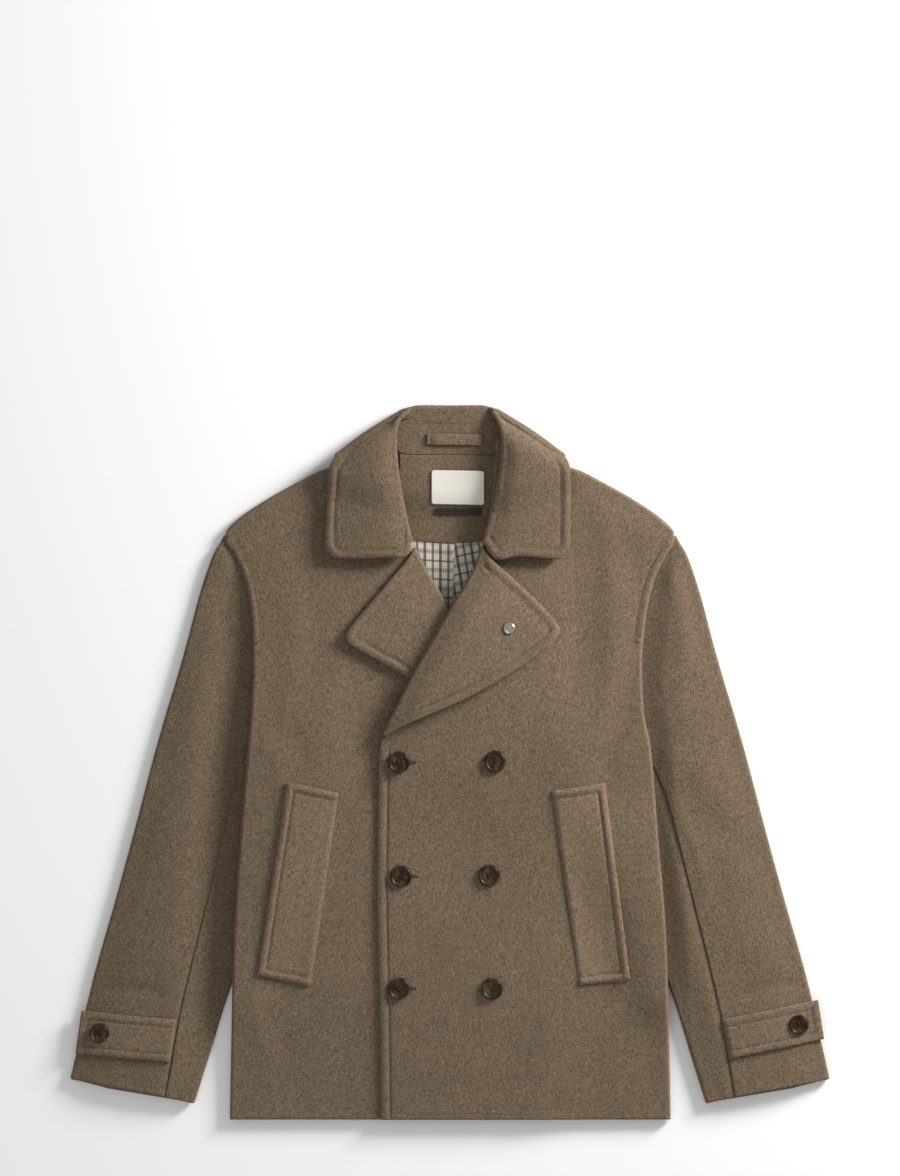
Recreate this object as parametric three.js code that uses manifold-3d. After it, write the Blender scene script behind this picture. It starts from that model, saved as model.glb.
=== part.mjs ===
// A double-breasted wool pea coat, laid flat on its back with its sleeves at its sides.
// Millimetres. +X is the wearer's left, +Y runs from the hem to the collar, +Z is up from the surface.
// The origin is the middle of the coat's box, on the surface that it lies on.
import * as THREE from "three";
import { mergeVertices } from "three/addons/utils/BufferGeometryUtils.js";
import Module from "manifold-3d";

const wasm = await Module();
wasm.setup();

// Driving dimensions: cloth thicknesses and the clearances between layers
const SEAM_GAP = 0.3;
const BACK_CLOTH = 3.0;
const FRONT_CLOTH = 3.5;
const SLEEVE_CLOTH = 3.2;
const LAPEL_CLOTH = 4.0;
const COLLAR_CLOTH = 4.5;
const FACING_CLOTH = 1.7;
const LINING_CLOTH = 1.5;
const WELT_CLOTH = 3.0;
const STRAP_CLOTH = 3.0;
const LABEL_CLOTH = 1.0;
const LOOP_CLOTH = 2.2;

// Driving dimensions: how the layers stack
const INNER_GAP = 2.3; // between the back panel and a front, where the facing and lining lie
const SLEEVE_HEIGHT = 10.3; // a sleeve's two layers with the air between them
const TUCKED_HEIGHT = 6.6; // the same, pressed flat under the body's side
const TUCK_LIFT = TUCKED_HEIGHT + 1.2; // how far the body's side is lifted by the sleeve under it
const FALL_LIFT = COLLAR_CLOTH + 1.2; // how far the back neck is lifted by the collar under it
const LAP_LIFT = FRONT_CLOTH + 0.4; // the left front over the right one
const LAPEL_PUFF = 2.6; // how far a lapel stands up along its roll line
const LAPEL_LIFT = LAPEL_CLOTH + LAPEL_PUFF + 1.6; // the left front over the right lapel
const COLLAR_PUFF = 5.0; // how far the collar's front leaves stand up along their roll
const NECK_GAP = 1.2; // a front's extra clearance over the back neck facing
const TUCK_SLOPE = 35; // how far in from the tucked sleeve the body starts to rise
const LAP_EDGE = 85; // where the left front comes down from the right one, and where it lies flat
const LAP_END = 120;
const SIDE_ROLL = 8.0; // how far in a panel's rolled side starts to bend down
const TUCK_ALONG = { foot: -330, full: -268, fall: 14, head: 46 }; // rows where the tuck lifts the body
const NECK_RISE = { start: 45, full: 8 }; // how far below the collar's fall the back starts to rise
const SHOULDER_REACH = { full: 143, end: 178 }; // how far out that lift goes along the shoulder
const HIDDEN_RISE = { start: -34, full: -9 }; // how the left front rises onto the right lapel
const WELT_REST = 1.9; // a welt bridges the slope of the panel under it
const LAPEL_REST = { right: 0.6, left: 1.8 }; // the left lapel bridges the ridge of the one below it
const STUD_REST = 0.6;
const LABEL_REST = 0.8;
const COLLAR_REST = 0.6;
const COLLAR_ROLL_RADIUS = 3.6; // of the bend between the stand and the fall
const FOLD_REACH = 6.5; // of the bend over a shoulder, between a leaf and the fall behind the neck
const FOLD_HEIGHT = { stand: 8.6, near: 15.5, far: 19.2 }; // of the collar where it crosses a shoulder
const LEAF_LIFT = 1.2; // of a leaf's outer part over the front
const SLEEVE_CROWN = { edge: 0.82, reach: 32 }; // height at a sleeve's edge, and where it is full

const HEM_Y = -411;
const UNDERARM_Y = 21;
const SHOULDER_POINT_Y = 256;
const SIDES = { right: -1, left: 1 };

// Rows of a table, each with its columns by name
function table(columns, rows) {
  const names = columns.split(" ");
  return rows.map((row) => Object.fromEntries(row.map((value, i) => [names[i], value])));
}

// Half width of the body from its hem to the shoulder point, then along the shoulder seam to the neck
const BODY_EDGE = table("y right left", [
  [HEM_Y, 253.6, 254.1],
  [-273, 250.8, 251.3],
  [-195, 248.4, 248.4],
  [-89, 241.5, 239.8],
  [UNDERARM_Y, 232.3, 230.6],
  [58, 229.4, 223.1],
  [113, 227.1, 221.0],
  [158, 228.0, 224.5],
  [185, 230.8, 228.9],
  [214, 237.6, 236.9],
  [239, 248.4, 249.6],
  [SHOULDER_POINT_Y, 258.8, 258.8],
  [264, 258.0, 258.0],
  [279, 245.0, 245.0],
  [302, 212.0, 212.0],
  [325, 171.0, 171.0],
  [337, 147.0, 147.0],
  [342.5, 128.0, 128.0],
  [355, 98.0, 98.0],
  [372, 65.0, 65.0],
]);

// Inner edge of each front, measured towards its own side: front edge, roll line, neck
const FRONT_INNER = table("y e", [
  [HEM_Y, -79.4],
  [-283, -81.0],
  [-153, -83.6],
  [7, -81.5],
  [26, -79.0],
  [34, -71.0],
  [45, -61.5],
  [57, -55.5],
  [98, -36.0],
  [147, -7.5],
  [182, 12.5],
  [221, 35.0],
  [248, 46.0],
  [300, 56.0],
  [340, 60.0],
  [372, 62.0],
]);

// Outline of each sleeve and its two seams, as half widths from the coat's middle line
const SLEEVE_OUTER = table("y x", [
  [-364.6, 437.0],
  [-342, 432.0],
  [-250, 411.0],
  [-158, 385.0],
  [-66, 360.0],
  [3, 342.0],
  [49, 329.0],
  [95, 315.0],
  [141, 302.0],
  [187, 290.0],
  [210, 283.0],
  [233, 275.0],
  [SHOULDER_POINT_Y, 265.5],
]);
const SLEEVE_INNER = table("y x", [
  [-392.7, 294.4],
  [-342, 278.5],
  [-273, 257.5],
  [-190, 228.0],
  [-120, 203.0],
  [-50, 180.0],
  [UNDERARM_Y, 158.0],
]);
const FOREARM_SEAM = table("y x", [
  [-384.7, 327.8],
  [-345, 320.9],
  [-289, 311.0],
  [-174, 283.5],
  [-63, 255.5],
  [-13, 242.0],
  [UNDERARM_Y, 231.5],
]);
const ELBOW_SEAM = table("y x", [
  [-376, 392.0],
  [-250, 355.0],
  [-150, 320.0],
  [-60, 275.0],
  [UNDERARM_Y, 231.5],
]);

// Collar edges, in each side's own outward distance e: over the shoulder, front roll, leaf edge, foot
const COLLAR_FOLD = table("e y", [
  [50, 409.5],
  [65, 401.0],
  [79, 392.5],
  [94, 383.0],
  [111, 371.0],
  [125, 359.5],
  [134, 353.0],
  [138.5, 347.0],
]);
const COLLAR_ROLL = {
  right: table("e y", [
    [59.5, 390],
    [61, 356],
    [55, 311],
    [46, 267],
    [42, 256],
  ]),
  left: table("e y", [
    [57, 386],
    [58.7, 352],
    [51.8, 311],
    [41, 268],
    [37, 253],
  ]),
};
const COLLAR_LEAF = {
  right: table("e y", [
    [141, 310],
    [143.5, 270],
    [143.5, 250],
    [139, 240.5],
  ]),
  left: table("e y", [
    [138.5, 310],
    [138, 270],
    [138, 250],
    [133.5, 240],
  ]),
};
const COLLAR_FOOT = {
  right: table("e y", [
    [42, 256],
    [49.5, 238],
    [81, 235],
    [126, 234],
    [139, 240.5],
  ]),
  left: table("e y", [
    [37, 253],
    [53, 233.5],
    [80, 237],
    [122, 234],
    [133.5, 240],
  ]),
};
const COLLAR_TOP_Y = 411;
const FALL_EDGE_Y = 321; // lower edge of the fall under the back neck, at the middle
const FALL_EDGE_RISE = 25; // how much higher that edge is at the shoulders
const FALL_HALF_WIDTH = 137.5;
const COLLAR_SEAM_Y = 388.3;
const COLLAR_UNDERLAP = 19; // how far the collar runs back under its own roll

// Lapel edges, in each side's own outward distance
const LAPEL_ROLL = table("e y", [
  [-82, 24],
  [-66, 57],
  [-45, 98],
  [-17, 147],
  [3, 182],
  [26, 221],
  [40, 249],
]);
const LAPEL_HEAD = {
  right: table("e y", [
    [40, 249],
    [50, 233],
    [84, 192.6],
    [112, 159],
    [119.5, 146],
    [117, 137],
  ]),
  left: table("e y", [
    [36, 250],
    [52, 230],
    [70, 214],
    [103.5, 182.3],
    [123, 160],
    [125, 149],
    [117, 136],
  ]),
};
const LAPEL_LOWER = {
  right: table("e y", [
    [-79, 27],
    [-50, 44],
    [-17, 61],
    [30, 88],
    [84, 118],
    [117, 137],
  ]),
  left: table("e y", [
    [-79, 27],
    [-50, 44],
    [-17, 58],
    [26.5, 78],
    [70, 103],
    [117, 136],
  ]),
};

// Corners of the applied pieces, in each side's own outward distance
const WELT_CORNERS = {
  right: table("e y", [
    [221.4, -243.7],
    [160.1, -257.3],
    [127.8, -34.6],
    [186.8, -21.7],
  ]),
  left: table("e y", [
    [207.1, -249.2],
    [149.0, -255.6],
    [116.8, -32.1],
    [178.1, -22.7],
  ]),
};
const STRAP_CORNERS = {
  right: table("e y", [
    [431.0, -334.5],
    [321.8, -344.4],
    [314.6, -295.8],
    [424.0, -285.5],
  ]),
  left: table("e y", [
    [430.5, -318.0],
    [322.6, -340.5],
    [313.2, -295.3],
    [423.5, -273.0],
  ]),
};

// Places and sizes of the small pieces
const FRONT_BUTTONS = table("x y", [
  [-58.7, 0.6],
  [-56.4, -130.5],
  [-58.7, -259.3],
  [51.8, 1.7],
  [44.9, -129.4],
  [48.3, -259.3],
]);
const CUFF_BUTTONS = { right: { e: 403.3, y: -311 }, left: { e: 401.1, y: -301.2 } };
const FRONT_BUTTON_RADIUS = 12.6;
const CUFF_BUTTON_RADIUS = 11.4;
const BUTTON_HEIGHT = 4.0;
const BUTTON_HOLE_RADIUS = 1.1;
const BUTTON_HOLE_SPREAD = 2.3;
const STUD = { x: 67.9, y: 154.7, radius: 7.0, height: 3.4 };
const LABEL = { left: -21.2, right: 39.3, foot: 297.2, head: 336.2 };
const SMALL_LABEL = { left: -17.0, right: 35.7, foot: 285.0, head: 292.7 };
const LOOP = { left: -26.5, right: 37.6, foot: 365.0, head: 377.8, rise: 2.0 };
const STAND_HALF_WIDTH = 65;
const FACING_HALF_WIDTH = 58;
const FACING_FOOT_Y = 252.4;
const LINING_FOOT_Y = 166;

// Colours of the materials
const WOOL = 0x72614d;
const FACING_WOOL = 0x6e5f50;
const LINING_COLOUR = 0x9c978c;
const LABEL_COLOUR = 0xd4d2cc;
const DARK_LABEL_COLOUR = 0x39302a;
const HORN = 0x362d20;
const METAL = 0xb9b6ae;

// From 0 at a to 1 at b, with a soft start and end
const smooth = (a, b, t) => THREE.MathUtils.smoothstep(t, a, b);
const { lerp } = THREE.MathUtils;

// A curve through a table's rows that never overshoots them: cubic pieces with harmonic-mean slopes
function curve(rows, from, to) {
  const xs = rows.map((row) => row[from]);
  const ys = rows.map((row) => row[to]);
  const flip = xs[0] > xs[xs.length - 1];
  if (flip) {
    xs.reverse();
    ys.reverse();
  }
  const steps = xs.slice(1).map((x, i) => x - xs[i]);
  const slopes = steps.map((step, i) => (ys[i + 1] - ys[i]) / step);
  const tangents = xs.map((_, i) => {
    if (i === 0) return slopes[0];
    if (i === xs.length - 1) return slopes[i - 1];
    if (slopes[i - 1] * slopes[i] <= 0) return 0;
    return (2 * slopes[i - 1] * slopes[i]) / (slopes[i - 1] + slopes[i]);
  });
  return (x) => {
    const held = THREE.MathUtils.clamp(x, xs[0], xs[xs.length - 1]);
    const found = xs.findIndex((edge) => edge > held);
    const i = (found < 0 ? xs.length - 1 : found) - 1;
    const h = steps[i];
    const t = (held - xs[i]) / h;
    const t2 = t * t;
    const t3 = t2 * t;
    return (
      (2 * t3 - 3 * t2 + 1) * ys[i] +
      (t3 - 2 * t2 + t) * h * tangents[i] +
      (3 * t2 - 2 * t3) * ys[i + 1] +
      (t3 - t2) * h * tangents[i + 1]
    );
  };
}

// A plan edge through (e, y) rows, walked by its length from 0 to 1
function edge(rows) {
  const line = new THREE.SplineCurve(rows.map((row) => new THREE.Vector2(row.e, row.y)));
  return (t) => line.getPointAt(THREE.MathUtils.clamp(t, 0, 1));
}

const bodyEdge = {
  right: curve(BODY_EDGE, "y", "right"),
  left: curve(BODY_EDGE, "y", "left"),
};
const frontInner = curve(FRONT_INNER, "y", "e");
const sleeveOuter = curve(SLEEVE_OUTER, "y", "x");
const sleeveInner = curve(SLEEVE_INNER, "y", "x");
const forearmSeam = curve(FOREARM_SEAM, "y", "x");
const elbowSeam = curve(ELBOW_SEAM, "y", "x");

// Height of what the back panel lies on: the surface, the tucked sleeves, the collar's fall
function underBack(x, y) {
  const out = Math.abs(x);
  const inner = sleeveInner(y);
  const { foot, full, fall, head } = TUCK_ALONG;
  const along = (1 - smooth(fall, head, y)) * smooth(foot, full, y);
  const tuck = TUCK_LIFT * smooth(inner - 3 - TUCK_SLOPE, inner - 3, out) * along;
  const fallEdge = FALL_EDGE_Y + FALL_EDGE_RISE * (out / FALL_HALF_WIDTH) ** 2;
  const across = 1 - smooth(SHOULDER_REACH.full, SHOULDER_REACH.end, out);
  const neck = FALL_LIFT * smooth(fallEdge - NECK_RISE.start, fallEdge - NECK_RISE.full, y) * across;
  return tuck + neck;
}

// Signed distance to the line through two points, positive on its left
function leftOf(a, b, x, y) {
  const dx = b.x - a.x;
  const dy = b.y - a.y;
  return (dx * (y - a.y) - dy * (x - a.x)) / Math.hypot(dx, dy);
}

// How far the right lapel, hidden under the left front, lifts it
const HIDDEN_LAPEL_FOOT = [{ x: 79, y: 27 }, { x: -117, y: 137 }];
const HIDDEN_LAPEL_ROLL = [{ x: 82, y: 24 }, { x: -40, y: 249 }];
function overRightLapel(x, y) {
  const above = -leftOf(...HIDDEN_LAPEL_FOOT, x, y);
  const inside = leftOf(...HIDDEN_LAPEL_ROLL, x, y);
  const { start, full } = HIDDEN_RISE;
  return LAPEL_LIFT * smooth(start, full, above) * smooth(start, full, inside);
}

// Underside of a front, and its face
function frontUnder(side, x, y) {
  const base = underBack(x, y) + BACK_CLOTH + INNER_GAP + NECK_GAP * smooth(255, 290, y);
  if (side === "right") return base;
  return base + LAP_LIFT * (1 - smooth(LAP_EDGE, LAP_END, x)) + overRightLapel(x, y);
}
const frontFace = (side, x, y) => frontUnder(side, x, y) + FRONT_CLOTH;

// Face of a sleeve: pressed flat under the body, softly crowned outside it
function sleeveFace(side, x, y) {
  const out = Math.abs(x);
  const fromOuter = Math.max(0, sleeveOuter(y) - out);
  const { edge: low, reach } = SLEEVE_CROWN;
  const crown = SLEEVE_HEIGHT * lerp(low, 1, smooth(0, reach, fromOuter));
  const body = bodyEdge[side](Math.min(y, UNDERARM_Y));
  const clear = smooth(body + 4, body + 40, out);
  const below = 1 - smooth(UNDERARM_Y - 2, 62, y);
  return lerp(crown, TUCKED_HEIGHT, (1 - clear) * below);
}

// A closed mesh between two sheets of points in rows, joined round the rim, with its faces out
function solidBetween(upper, lower) {
  const columns = upper[0].length;
  const count = upper.length * columns;
  const positions = [...upper.flat(), ...lower.flat()].flatMap((p) => [p.x, p.y, p.z]);
  const index = [];
  const quad = (a, b, c, d) => index.push(a, b, c, a, c, d);
  for (let j = 0; j + 1 < upper.length; j++) {
    for (let i = 0; i + 1 < columns; i++) {
      const corner = j * columns + i;
      const next = corner + columns;
      quad(corner, corner + 1, next + 1, next);
      quad(count + corner, count + next, count + next + 1, count + corner + 1);
    }
  }
  const rim = [];
  for (let i = 0; i + 1 < columns; i++) rim.push(i);
  for (let j = 0; j + 1 < upper.length; j++) rim.push(j * columns + columns - 1);
  for (let i = columns - 1; i > 0; i--) rim.push((upper.length - 1) * columns + i);
  for (let j = upper.length - 1; j > 0; j--) rim.push(j * columns);
  rim.forEach((a, k) => {
    const b = rim[(k + 1) % rim.length];
    quad(b, a, count + a, count + b);
  });
  const geometry = new THREE.BufferGeometry();
  geometry.setAttribute("position", new THREE.Float32BufferAttribute(positions, 3));
  geometry.setIndex(volumeOf(positions, index) < 0 ? index.reverse() : index);
  geometry.computeVertexNormals();
  return geometry;
}

// Signed volume of a closed triangle mesh
function volumeOf(positions, index) {
  const corners = [new THREE.Vector3(), new THREE.Vector3(), new THREE.Vector3()];
  let sum = 0;
  for (let k = 0; k < index.length; k += 3) {
    corners.forEach((corner, n) => corner.fromArray(positions, 3 * index[k + n]));
    sum += corners[0].dot(corners[1].cross(corners[2])) / 6;
  }
  return sum;
}

// A wall of even thickness about a sheet of middle points
function wallAbout(rows, thickness) {
  const normals = rows.map((row, j) => row.map((point, i) => {
    const along = new THREE.Vector3().subVectors(
      row[Math.min(i + 1, row.length - 1)],
      row[Math.max(i - 1, 0)],
    );
    const across = new THREE.Vector3().subVectors(
      rows[Math.min(j + 1, rows.length - 1)][i],
      rows[Math.max(j - 1, 0)][i],
    );
    return along.cross(across).normalize().multiplyScalar(thickness / 2);
  }));
  const shifted = (sign) => rows.map((row, j) =>
    row.map((point, i) => point.clone().addScaledVector(normals[j][i], sign)));
  return solidBetween(shifted(1), shifted(-1));
}

// A point of the patch between four plan edges: a runs from start to end, b from near to far
function patchPoint({ start, end, near, far }, a, b) {
  const along = start(b).multiplyScalar(1 - a).add(end(b).multiplyScalar(a));
  const across = near(a).multiplyScalar(1 - b).add(far(a).multiplyScalar(b));
  const corners = start(0).multiplyScalar((1 - a) * (1 - b))
    .add(start(1).multiplyScalar((1 - a) * b))
    .add(end(0).multiplyScalar(a * (1 - b)))
    .add(end(1).multiplyScalar(a * b));
  return along.add(across).sub(corners);
}

// Rows of the body, shared by both sides of every seam
const BODY_ROWS = [
  HEM_Y, -340, -268, -215, -150, -90, -40, -8, 10, UNDERARM_Y, 36, 52, 72, 92, 112, 132, 152, 171,
  190, 212, 232, 246, SHOULDER_POINT_Y,
];
const YOKE_ROWS = [264, 280, 302, 325, 337, 342.5, 355, 372];
const TUCK_COLUMNS = [3 + TUCK_SLOPE, 26, 14, 3]; // columns of the panels, in from the tucked sleeve
const NECK_COLUMNS = [0, 19, 38, 58]; // columns shared by the back, its facing and the stand

// 0 along the armhole, where a panel butts against the sleeve, and 1 where it rolls down to the back
function rolled(y) {
  const side = 1 - smooth(UNDERARM_Y - 12, UNDERARM_Y + 14, y);
  const shoulder = smooth(SHOULDER_POINT_Y, 264, y);
  return Math.max(side, shoulder);
}

// Ratio of a distance square to the body's edge to the same distance along a level row
function squareness(side, y) {
  const slope = bodyEdge[side](y + 2) - bodyEdge[side](y - 2);
  return 4 / Math.hypot(4, slope);
}

// Where the tucked sleeve's inner edge runs under the body, kept clear of the body's own edge
const tuckLine = (side, y) => Math.min(sleeveInner(y), bodyEdge[side](y) - 14);

// Even steps from one number to another, both included
const spread = (from, to, steps) =>
  Array.from({ length: steps + 1 }, (_, i) => lerp(from, to, i / steps));

// Front panel: level rows from its inner edge to the side, where it rolls down outside the back panel
function frontPanel(side) {
  const sign = SIDES[side];
  const fromOuter = [SIDE_ROLL, 5.5, FRONT_CLOTH + 0.2, FRONT_CLOTH - 0.2, 1.2, 0];
  const middle = 13;
  const upper = [];
  const lower = [];
  for (const y of [...BODY_ROWS, ...YOKE_ROWS]) {
    const inner = frontInner(y);
    const outer = bodyEdge[side](y) - (SEAM_GAP - 0.1) * (1 - rolled(y));
    const squared = squareness(side, y);
    const fit = Math.min(1, ((outer - inner) * squared) / 60);
    const last = outer - (SIDE_ROLL * fit) / squared;
    const tucked = tuckLine(side, y);
    const places = y <= SHOULDER_POINT_Y
      ? [
        inner,
        ...spread(inner + 16, LAP_EDGE, 4),
        lerp(LAP_EDGE, LAP_END, 0.5),
        LAP_END - 1,
        ...TUCK_COLUMNS.map((d) => tucked - d),
        lerp(tucked, last, 0.5),
      ]
      : spread(inner, lerp(inner, last, 1 - 1 / middle), middle - 1);
    places.push(...fromOuter.map((d) => outer - (d * fit) / squared));
    const bend = rolled(y);
    upper.push(places.map((e) => {
      const d = (outer - e) * squared;
      const face = frontFace(side, sign * e, y);
      const low = underBack(sign * e, y) + 1;
      const turn = 1 - Math.sqrt(1 - (1 - Math.min(d / SIDE_ROLL, 1)) ** 2);
      return new THREE.Vector3(sign * e, y, face - bend * turn * (face - low));
    }));
    lower.push(places.map((e) => {
      const d = (outer - e) * squared;
      const under = frontUnder(side, sign * e, y);
      const wall = d < FRONT_CLOTH * fit && bend > 0.95 ? 1 : 0;
      return new THREE.Vector3(sign * e, y, lerp(under, underBack(sign * e, y), wall));
    }));
  }
  return solidBetween(upper, lower);
}

// The back's upper edge: the neck curve, then the shoulder inside the front's rolled edge
const shoulderRows = BODY_EDGE.filter(({ y }) => y > SHOULDER_POINT_Y);
const shoulderLine = curve(shoulderRows.map(({ y, left }) => ({ y, x: left })), "x", "y");
const NECK_LINE = { y: 354, rise: 18, halfWidth: 65 }; // level between the collar's rolls, then up
const neckLine = (x) => NECK_LINE.y + NECK_LINE.rise * (x / NECK_LINE.halfWidth) ** 18;
const SHOULDER_INSET = FRONT_CLOTH + 2; // of the back's edge from the front's, along the shoulder
function backTop(x) {
  const out = Math.abs(x);
  if (out < NECK_LINE.halfWidth + 1) return neckLine(out);
  return shoulderLine(out) - SHOULDER_INSET - 4 * smooth(200, 250, out);
}
const YOKE_RISE = [0.22, 0.42, 0.6, 0.78, 0.9, 1];
const yokeHeight = (x, rise) =>
  lerp(SHOULDER_POINT_Y, Math.max(backTop(x), SHOULDER_POINT_Y + 2), rise);

// Back panel: level rows up to the shoulder points, then rows that rise to the shoulders and neck
function backPanel() {
  const half = (side, y) => {
    const besideSleeve = y > UNDERARM_Y && y < SHOULDER_POINT_Y;
    const outer = bodyEdge[side](y) - 0.1 - (besideSleeve ? 0 : FRONT_CLOTH + 0.5);
    const tucked = tuckLine(side, y);
    return [
      ...NECK_COLUMNS,
      lerp(NECK_COLUMNS[3], tucked - TUCK_COLUMNS[0], 0.5),
      ...TUCK_COLUMNS.map((d) => tucked - d),
      lerp(tucked, outer, 0.5),
      outer,
    ];
  };
  const rows = BODY_ROWS.map((y) => [
    ...half("right", y).slice(1).map((x) => -x).reverse(),
    ...half("left", y),
  ].map((x) => ({ x, y })));
  const widest = rows[rows.length - 1];
  for (const rise of YOKE_RISE) rows.push(widest.map(({ x }) => ({ x, y: yokeHeight(x, rise) })));
  const sheet = (up) => rows.map((row) => row.map(({ x, y }) =>
    new THREE.Vector3(x, y, underBack(x, y) + up)));
  return solidBetween(sheet(BACK_CLOTH), sheet(0));
}

// Rows of a sleeve: down the armhole at level heights, then turning to the slant of the cuff
const ARM_STEPS = [0.03, 0.08, 0.14, 0.22, 0.32, 0.43, 0.55, 0.66, 0.77, 0.89, 1];
function armRow(step) {
  const y = (foot) => lerp(UNDERARM_Y, foot, step);
  return {
    outer: new THREE.Vector2(sleeveOuter(y(-364.6)), y(-364.6)),
    seam: new THREE.Vector2(forearmSeam(y(-384.7)), y(-384.7)),
    inner: new THREE.Vector2(sleeveInner(y(-392.7)), y(-392.7)),
    elbow: new THREE.Vector2(elbowSeam(y(-376)), y(-376)),
  };
}

// Middle points of a flattened tube's wall, from one seam on the face round an edge to one underneath
function roundEdge(side, from, rim, to, steps) {
  const sign = SIDES[side];
  const half = SLEEVE_CLOTH / 2;
  const inward = from.clone().sub(rim);
  const length = inward.length();
  inward.divideScalar(length);
  const tall = (sleeveFace(side, rim.x - 6 * Math.sign(rim.x - from.x), rim.y) - SLEEVE_CLOTH) / 2;
  const reach = Math.min(tall, length - half - 2);
  const turn = rim.clone().addScaledVector(inward, half + reach);
  const points = [];
  for (const step of steps) {
    const p = from.clone().lerp(turn, step);
    points.push(new THREE.Vector3(sign * p.x, p.y, sleeveFace(side, p.x, p.y) - half));
  }
  const top = sleeveFace(side, turn.x, turn.y) - half;
  for (const angle of [45, 90, 135]) {
    const radians = THREE.MathUtils.degToRad(angle);
    const p = turn.clone().addScaledVector(inward, -reach * Math.sin(radians));
    const z = lerp(half, top, (1 + Math.cos(radians)) / 2);
    points.push(new THREE.Vector3(sign * p.x, p.y, z));
  }
  for (const step of [...steps].reverse()) {
    const p = to.clone().lerp(turn, step);
    points.push(new THREE.Vector3(sign * p.x, p.y, half));
  }
  return points;
}

// Upper sleeve: the sleeve head beside the armhole, then the outer part between the two seams
function upperSleeve(side) {
  const rows = [];
  const steps = [0, 0.2, 0.6, 1];
  for (const y of BODY_ROWS.filter((row) => row >= UNDERARM_Y).reverse()) {
    const seam = new THREE.Vector2(bodyEdge[side](y) + SEAM_GAP - 0.1, y);
    rows.push(roundEdge(side, seam, new THREE.Vector2(sleeveOuter(y), y), seam, steps));
  }
  for (const step of ARM_STEPS) {
    const { outer, seam, elbow } = armRow(step);
    rows.push(roundEdge(side, seam, outer, elbow, steps));
  }
  return wallAbout(rows, SLEEVE_CLOTH);
}

// Under sleeve: the inner part between the two seams, tucked under the body above the elbow
function underSleeve(side) {
  const steps = [0, 0.25, 0.6, 1];
  const gap = SEAM_GAP + 0.1;
  const rows = ARM_STEPS.map((step) => {
    const { seam, inner, elbow } = armRow(step);
    const shifted = (point) => new THREE.Vector2(point.x - gap, point.y - gap * 0.1);
    return roundEdge(side, shifted(seam), inner, shifted(elbow), steps);
  });
  return wallAbout(rows, SLEEVE_CLOTH);
}

// A lapel: it starts level with the front's cloth, rolls over the roll line and lies on the front
function lapel(side) {
  const sign = SIDES[side];
  const edges = {
    start: (b) => new THREE.Vector2(lerp(-82, -79, b), lerp(24, 27, b)),
    end: edge(LAPEL_HEAD[side]),
    near: edge([...LAPEL_ROLL.slice(0, -1), LAPEL_HEAD[side][0]]),
    far: edge(LAPEL_LOWER[side]),
  };
  const half = LAPEL_CLOTH / 2;
  const rows = [];
  for (const a of [0.09, 0.18, 0.28, 0.39, 0.5, 0.6, 0.7, 0.8, 0.89, 0.95, 1]) {
    const roll = patchPoint(edges, a, 0);
    const into = patchPoint(edges, a, 0.3).sub(roll);
    const width = patchPoint(edges, a, 1).distanceTo(roll);
    into.normalize();
    const height = (p) => {
      const from = p.distanceTo(roll);
      const puff = LAPEL_PUFF * Math.exp(-((from / 26) ** 2));
      return frontFace(side, sign * p.x, p.y) + LAPEL_REST[side] + half + puff;
    };
    const radius = (LAPEL_PUFF + LAPEL_CLOTH + 0.6 + FRONT_CLOTH / 2 - half) / 2;
    const centre = roll.clone().addScaledVector(into, half + radius);
    const low = frontFace(side, sign * centre.x, centre.y) - FRONT_CLOTH / 2;
    const high = height(centre);
    const row = [new THREE.Vector3(sign * (centre.x + 0.2 * into.x), centre.y + 0.2 * into.y, low)];
    for (const angle of [150, 120, 90, 45, 0]) {
      const radians = THREE.MathUtils.degToRad(angle);
      const p = centre.clone().addScaledVector(into, -radius * Math.sin(radians));
      row.push(new THREE.Vector3(sign * p.x, p.y, lerp(low, high, (1 + Math.cos(radians)) / 2)));
    }
    const begin = (half + radius) / width;
    for (const b of [0.14, 0.32, 0.55, 0.78, 1]) {
      const p = patchPoint(edges, a, lerp(begin, 1, b));
      row.push(new THREE.Vector3(sign * p.x, p.y, height(p)));
    }
    rows.push(row);
  }
  return wallAbout(rows, LAPEL_CLOTH);
}

// Collar, as stations from the right leaf's foot, over the right shoulder, across the back, to the left
const COLLAR_ACROSS = [0.1, 0.24, 0.42, 0.6, 0.8, 1];
const collarHalf = COLLAR_CLOTH / 2;

// The fold over a shoulder, seen from above, moved in square to itself
function foldPoint(t, inset) {
  const fold = edge(COLLAR_FOLD);
  const tangent = fold(Math.min(t + 0.02, 1)).sub(fold(Math.max(t - 0.02, 0))).normalize();
  return fold(t).addScaledVector(new THREE.Vector2(tangent.y, -tangent.x), inset);
}

// One station: the part under the roll, the roll itself, and the fall at its places across
function collarStation(sign, roll, into, stand, fall) {
  const near = fall[0];
  const radius = COLLAR_ROLL_RADIUS;
  const under = [COLLAR_UNDERLAP, 0.63 * COLLAR_UNDERLAP, collarHalf + radius].map((reach) => {
    const p = roll.clone().addScaledVector(into, reach);
    return new THREE.Vector3(sign * p.x, p.y, stand);
  });
  const bend = [45, 90, 135].map((angle) => {
    const radians = THREE.MathUtils.degToRad(angle);
    const p = roll.clone().addScaledVector(into, collarHalf + radius * (1 - Math.sin(radians)));
    return new THREE.Vector3(sign * p.x, p.y, lerp(near.z, stand, (1 + Math.cos(radians)) / 2));
  });
  return [...under, ...bend, ...fall];
}

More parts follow.
